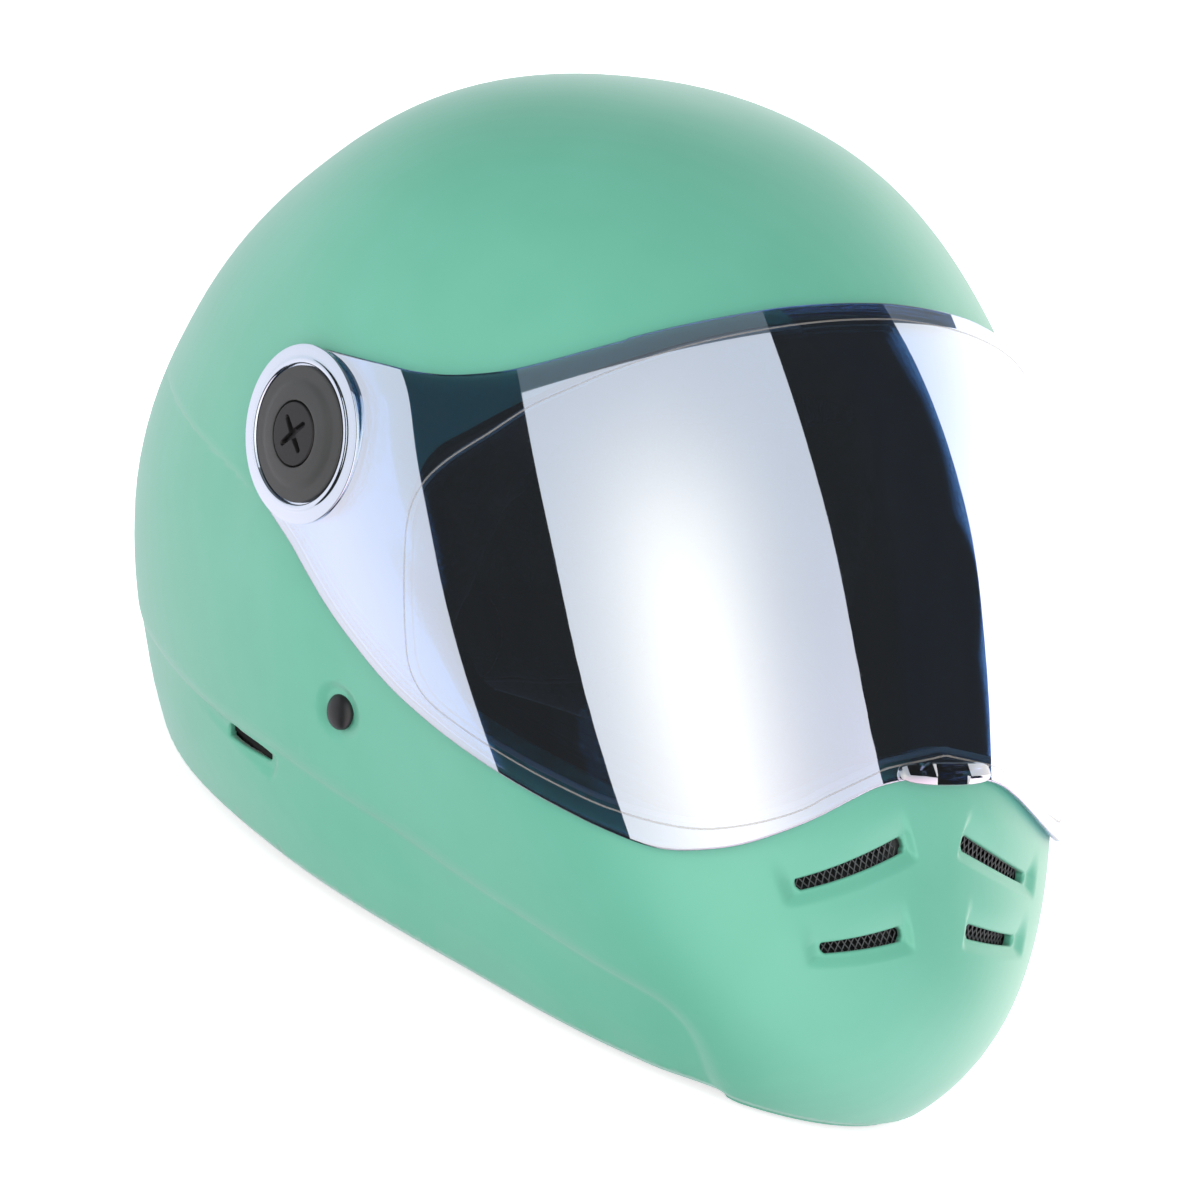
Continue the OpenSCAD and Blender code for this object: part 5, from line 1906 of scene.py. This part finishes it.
@dataclass
class Straps:
    """Both chin straps, their stitching, the snap and the two D-rings.

    Attributes:
        fin: the finishes.
        boxes: where each box of stitches starts and ends along the webbing.
        box_half: half width of the boxes.
        stitch: length of a stitch.
        stitch_step: from one stitch to the next.
    """

    fin: Finishes
    boxes: tuple = ((19.0, 27.0), (48.0, 58.0))
    box_half: float = 7.5
    stitch: float = 1.5
    stitch_step: float = 2.2

    def build(self) -> None:
        """Makes the straps and finishes their fittings."""
        x = float(SKIN.side_x(*RIVET)) - STRAP_INSET - STRAP_T / 2
        drop = [(x, RIVET[1] + 10), (x, RIVET[1] - 6)]
        for dz in (14, 24, 33):
            drop.append((float(SKIN.side_x(RIVET[0] - 11, RIVET[1] - dz, -7.6)) - STRAP_T,
                         RIVET[1] - dz))
        low = ROD_R + 1.0
        turn = [(66.8 + 2.55 * math.cos(math.radians(t)), 2.55 * math.sin(math.radians(t)))
                for t in range(105, 271, 15)]
        right = [(83, 3), (75, low + 0.1), (71, low), (67, low)] + turn + [
            (71.2, -2.6), (73.1, -1.9), (75, -0.9), (77, -0.2), (80, 0.3), (84, 1.1)]
        left = [(83, 3), (75, 2.5), (66, 2.5), (56, 2.5), (52.4, 2.1), (50.2, 0.8), (49.4, -0.2),
                (50.2, -1.9), (52.4, -2.7), (56, -2.9), (66, -2.9), (80, -2.9)]
        for side, low_part in ((Side.RIGHT, right), (Side.LEFT, left)):
            self._strap(side, drop + [(at, BAR_Z + dz) for at, dz in low_part])
        for node, slot, mat in (("snap_stud", "plated_steel", self.fin.steel),
                                ("snap_cap", "black_metal", self.fin.dark_metal),
                                ("d_ring_outer", "plated_steel", self.fin.steel),
                                ("d_ring_inner", "plated_steel", self.fin.steel)):
            show_node(node, mat)

    def _strap(self, side: Side, line: Sequence[Sequence[float]]) -> None:
        """Webbing along a line in front view, with raised edges and two boxes of stitches."""
        flat = even(spline(np.array(line, float), False, 8), 1.2)
        path = np.column_stack([flat[:, 0] * side.value, np.full(len(flat), RIVET[0]), flat[:, 1]])
        across = np.tile(FORWARD, (len(path), 1))
        up = unit(np.cross(headings(path), across))
        h = STRAP_T / 2 - 0.15
        edge = [(1.0, 0.5), (10.6 / 11, 1.0), (9.6 / 11, 1.0), (9.2 / 11, 0.82)]
        quarter = np.array(edge) * [EDGE_HALF, h]
        prof = np.concatenate([quarter * [-1, -1], (quarter * [1, -1])[::-1], quarter,
                               (quarter * [-1, 1])[::-1]])
        node = f"chin_strap_{side.word}"
        build(node + "_webbing", sweep(path, across, up, prof), [self.fin.webbing],
              [node], sharp=50)
        run = lengths(path)

        def at(values: Array, place: Array) -> Array:
            """Rows read off at distances along the webbing."""
            return np.stack([np.interp(place, run, values[:, k]) for k in range(3)], -1)

        thread, parts, lift = ring_profile(0.22, 5), [], h * 0.82 + 0.1
        for lo, hi in self.boxes:
            for face in (-1, 1):
                for row in (-self.box_half, self.box_half):
                    for s0 in np.arange(lo, hi, self.stitch_step):
                        st = np.linspace(s0, s0 + self.stitch, 4)
                        n = at(up, st)
                        c = at(path, st) + n * face * lift + np.array([0, row, 0])
                        parts.append(sweep(c, np.tile(FORWARD, (4, 1)), n, thread))
                for s0 in (lo, hi):
                    n = at(up, s0)
                    t = np.tile(unit(np.cross(n, FORWARD)), (4, 1))
                    for y0 in np.arange(-self.box_half, self.box_half - 1, self.stitch_step):
                        c = at(path, s0) + n * face * lift + np.linspace(
                            [0, y0, 0], [0, y0 + self.stitch, 0], 4)
                        parts.append(sweep(c, t, np.tile(n, (4, 1)), thread))
        build(node + "_stitches", Surface.joined(parts), [self.fin.thread])


# Studio


@dataclass(frozen=True)
class Camera:
    """The photo's camera.

    Attributes:
        right: its own X axis.
        up: its Y axis.
        back: its Z axis, away from what it sees.
        shift: how far the pivot lies to the right of its view's middle, and above it, in mm.
        distance: along back, in mm.
        focal_px: focal length in pixels of the photo.
        size_px: the photo's width.
        sensor: the sensor's width in mm.
    """

    right: tuple = (0.7518, -0.5978, 0.2781)
    up: tuple = (-0.0126, 0.4088, 0.9125)
    back: tuple = (-0.6592, -0.6896, 0.2998)
    shift: tuple = (4.7, 47.1)
    distance: float = 1670.0
    focal_px: float = 5415.0
    size_px: float = 1200.0
    sensor: float = 36.0

    def build(self) -> None:
        """Makes the scene's camera."""
        r, u, b = (np.array(x) for x in (self.right, self.up, self.back))
        place = PIVOT - self.shift[0] * r - self.shift[1] * u + self.distance * b
        data = bpy.data.cameras.new("photo_camera")
        data.sensor_width = self.sensor
        data.lens = self.focal_px / self.size_px * self.sensor
        data.clip_start, data.clip_end = 0.05, 60.0
        o = new_object("photo_camera", data)
        rows = np.column_stack([r, u, b, place * MM]).tolist()
        o.matrix_world = Matrix(rows + [[0, 0, 0, 1]])
        bpy.context.scene.camera = o


@dataclass
class Studio:
    """White room, floor, two black flags that the mirror pane reflects, and soft lights.

    Attributes:
        radius: of the room's dome, in m.
        floor_lift: the floor's own brightness for the camera.
        dome_base: the dome's colour away from the panels.
        panels: axis, spread in degrees and colour of each brighter place of the dome.
        flags: dark zones, each inside a first circle and outside the others, given by axes and
            cosines.
        ceiling: grey zone, given alike.
        lights: name, place, size in m and watts.
    """

    radius: float = 25.0
    floor_lift: float = 0.7
    dome_base: tuple = (0.89, 0.93, 1.01)
    panels: tuple = (((-0.569, -0.717, 0.403), 24.0, (0.75, 0.66, 0.5)),
                     ((-0.6, -0.8, -0.2), 36.0, (0.55, 0.48, 0.36)),
                     ((0.96, 0.0, 0.0), 34.0, (0.85, 0.72, 0.5)),
                     ((0.2, -0.75, -0.62), 38.0, (1.4, 0.65, 0.9)),
                     ((0.85, -0.5, -0.15), 30.0, (1.6, 1.3, 1.45)),
                     ((-0.45, 0.7, -0.55), 30.0, (0.4, 0.28, 0.28)))
    flags: tuple = (((-0.557, 0.728, -0.399), 0.331, (-0.125, 0.936, -0.330), 0.487),
                    ((0.763, -0.250, 0.597), 0.747, (0.961, 0.126, 0.248), 0.833,
                     (0.0, 1.0, 0.0), 0.1))
    ceiling: tuple = (((0.0, 0.775, 0.632), 0.388, (0.0, 0.0, -1.0), -0.45),)
    lights: tuple = (("key", (-1.4, -2.4, 1.5), 1.8, 16.0),
                     ("front_fill", (-0.6, -2.8, 0.35), 1.4, 11.0),
                     ("left_fill", (-2.6, 0.3, 1.0), 1.6, 15.5),
                     ("right_fill", (2.4, 0.5, 1.0), 1.6, 30.0))

    def build(self) -> None:
        """Makes the surroundings."""
        self._world()
        self._floor()
        self._dome()
        for light in self.lights:
            self._light(*light)
        scene = bpy.context.scene
        scene.view_settings.view_transform = "Standard"
        scene.view_settings.look = "None"

    def _world(self) -> None:
        """A white room that the camera and the gloss see plain, and that lights more from low."""
        t = Nodes("white_room", world=True)
        height = t.add("SeparateXYZ", (t.places["Generated"],)).outputs["Z"]
        power = t.add("MapRange", (height, 0.1, 1.0, 0.95, 0.46))
        lit = t.add("Background", {"Color": "ffffff", "Strength": power})
        seen = t.add("Background", {"Color": "ffffff", "Strength": 1.0})
        ray = t.add("LightPath").outputs
        glossy = t.add("MixShader", (ray["Is Glossy Ray"], lit, seen))
        bpy.context.scene.world = t.done(t.add("MixShader", (ray["Is Camera Ray"], glossy, seen)))

    def _floor(self) -> None:
        """A plain pale floor, a little brighter for the camera than it is lit."""
        t = Nodes("pale_floor")
        drift = t.add("TexNoise", {"Vector": t.places["Object"], "Scale": 1 / (300.0 * MM),
                                   "Detail": 3.0})
        colour = t.add("Mix", {0: drift, 6: "f4f4f4", 7: "f6f6f6"}, data_type="RGBA")
        pale = t.add("BsdfDiffuse", {"Color": colour.outputs[2]})
        ray = t.add("LightPath").outputs["Is Camera Ray"]
        lift = t.add("MapRange", (ray, 0.0, 1.0, 0.0, self.floor_lift))
        glow = t.add("Emission", {"Color": "ffffff", "Strength": lift})
        me = bpy.data.meshes.new("floor")
        h, z = 8.0, -0.0005
        me.from_pydata([(-h, -h, z), (h, -h, z), (h, h, z), (-h, h, z)], [], [(0, 1, 2, 3)])
        me.materials.append(t.done(t.add("AddShader", (pale, glow))))
        o = new_object("floor", me)
        o.visible_glossy = False

    def _dome(self) -> None:
        """What the mirror pane and the gloss see: a white room, brightest at the key panel."""
        n = 90
        th, ph = np.linspace(0, math.pi, n), np.linspace(0, 2 * math.pi, 2 * n, endpoint=False)
        g = np.stack(np.meshgrid(th, ph, indexing="ij"), -1)
        d = np.stack([np.sin(g[..., 0]) * np.cos(g[..., 1]), np.sin(g[..., 0]) * np.sin(g[..., 1]),
                      np.cos(g[..., 0])], -1).reshape(-1, 3)
        quads = grid_quads(n, 2 * n)[:, BACKWARDS]
        light = np.tile(np.array(self.dome_base), (len(d), 1))
        for axis, spread, colour in self.panels:
            off = np.degrees(np.arccos(np.clip(d @ unit(np.array(axis)), -1, 1)))
            light += np.exp(-(off / spread) ** 2)[:, None] * np.array(colour)
        me = bpy.data.meshes.new("white_room_dome")
        me.from_pydata((d * self.radius + PIVOT * MM).tolist(), [], quads.tolist())
        glow = me.color_attributes.new("glow", "FLOAT_COLOR", "POINT")
        glow.data.foreach_set("color", np.column_stack([light, np.ones(len(d))])
                              .astype(np.float32).ravel())
        t = Nodes("white_room_cloth")
        seen = t.add("Attribute", attribute_name="glow").outputs["Color"]
        drift = t.add("TexNoise", {"Vector": t.places["Object"], "Scale": 1 / (3000.0 * MM),
                                   "Detail": 3.0})
        for zones, lo, hi in ((self.ceiling, "6d7276", "72777b"), (self.flags, "2a2b2c", "303131")):
            cloth = t.add("Mix", {0: drift, 6: lo, 7: hi}, data_type="RGBA")
            seen = t.add("Mix", {0: self._zone(t, zones), 6: seen, 7: cloth.outputs[2]},
                         data_type="RGBA").outputs[2]
        me.materials.append(t.done(t.add("Emission", {"Color": seen, "Strength": 1.0})))
        o = new_object("white_room_dome", me)
        for ray in ("camera", "diffuse", "transmission", "shadow"):
            setattr(o, f"visible_{ray}", False)

    def _zone(self, t: Nodes, zones: Sequence) -> bpy.types.Node:
        """1 inside the zones: each lies inside one small circle and outside the others."""
        away = t.add("VectorMath", (t.places["Object"], tuple(PIVOT * MM)), operation="SUBTRACT")
        d = t.add("VectorMath", (away,), operation="NORMALIZE")

        def side(axis: Sequence[float], limit: float, operation: str) -> bpy.types.Node:
            """1 on one side of a small circle."""
            dot = t.add("VectorMath", (d, tuple(unit(np.array(axis)))), operation="DOT_PRODUCT")
            return t.add("Math", (dot.outputs["Value"], limit), operation=operation)

        total = None
        for near, c_near, *outside in zones:
            inside = side(near, c_near, "GREATER_THAN")
            for far, c_far in zip(outside[::2], outside[1::2]):
                inside = t.add("Math", (inside, side(far, c_far, "LESS_THAN")),
                               operation="MULTIPLY")
            total = inside if total is None else t.add("Math", (total, inside),
                                                       operation="MAXIMUM")
        return total

    def _light(self, name: str, place: Sequence[float], size: float, power: float) -> None:
        """A round soft light that faces the helmet and shows in no reflection."""
        data = bpy.data.lights.new(name, "AREA")
        data.shape, data.size, data.energy = "DISK", size, power
        o = new_object(name, data)
        o.location = place
        aim = Vector(PIVOT * MM) - Vector(place)
        o.rotation_euler = aim.to_track_quat("-Z", "Y").to_euler()
        o.visible_glossy = False


# The whole scene


def main() -> None:
    """Builds the sub-assemblies in order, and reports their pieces."""
    logging.basicConfig(level=logging.INFO)
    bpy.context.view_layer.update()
    fin = Finishes()
    for assembly in (Shell, Visor, Pivots, Trims, Padding, Straps):
        before = set(bpy.data.objects.keys())
        assembly(fin).build()
        for name in sorted(set(bpy.data.objects.keys()) - before):
            faces = len(bpy.data.objects[name].data.polygons)
            LOG.info("%s: made %s with %d faces", assembly.__name__, name, faces)
    Camera().build()
    Studio().build()


if __name__ == "__main__":
    main()
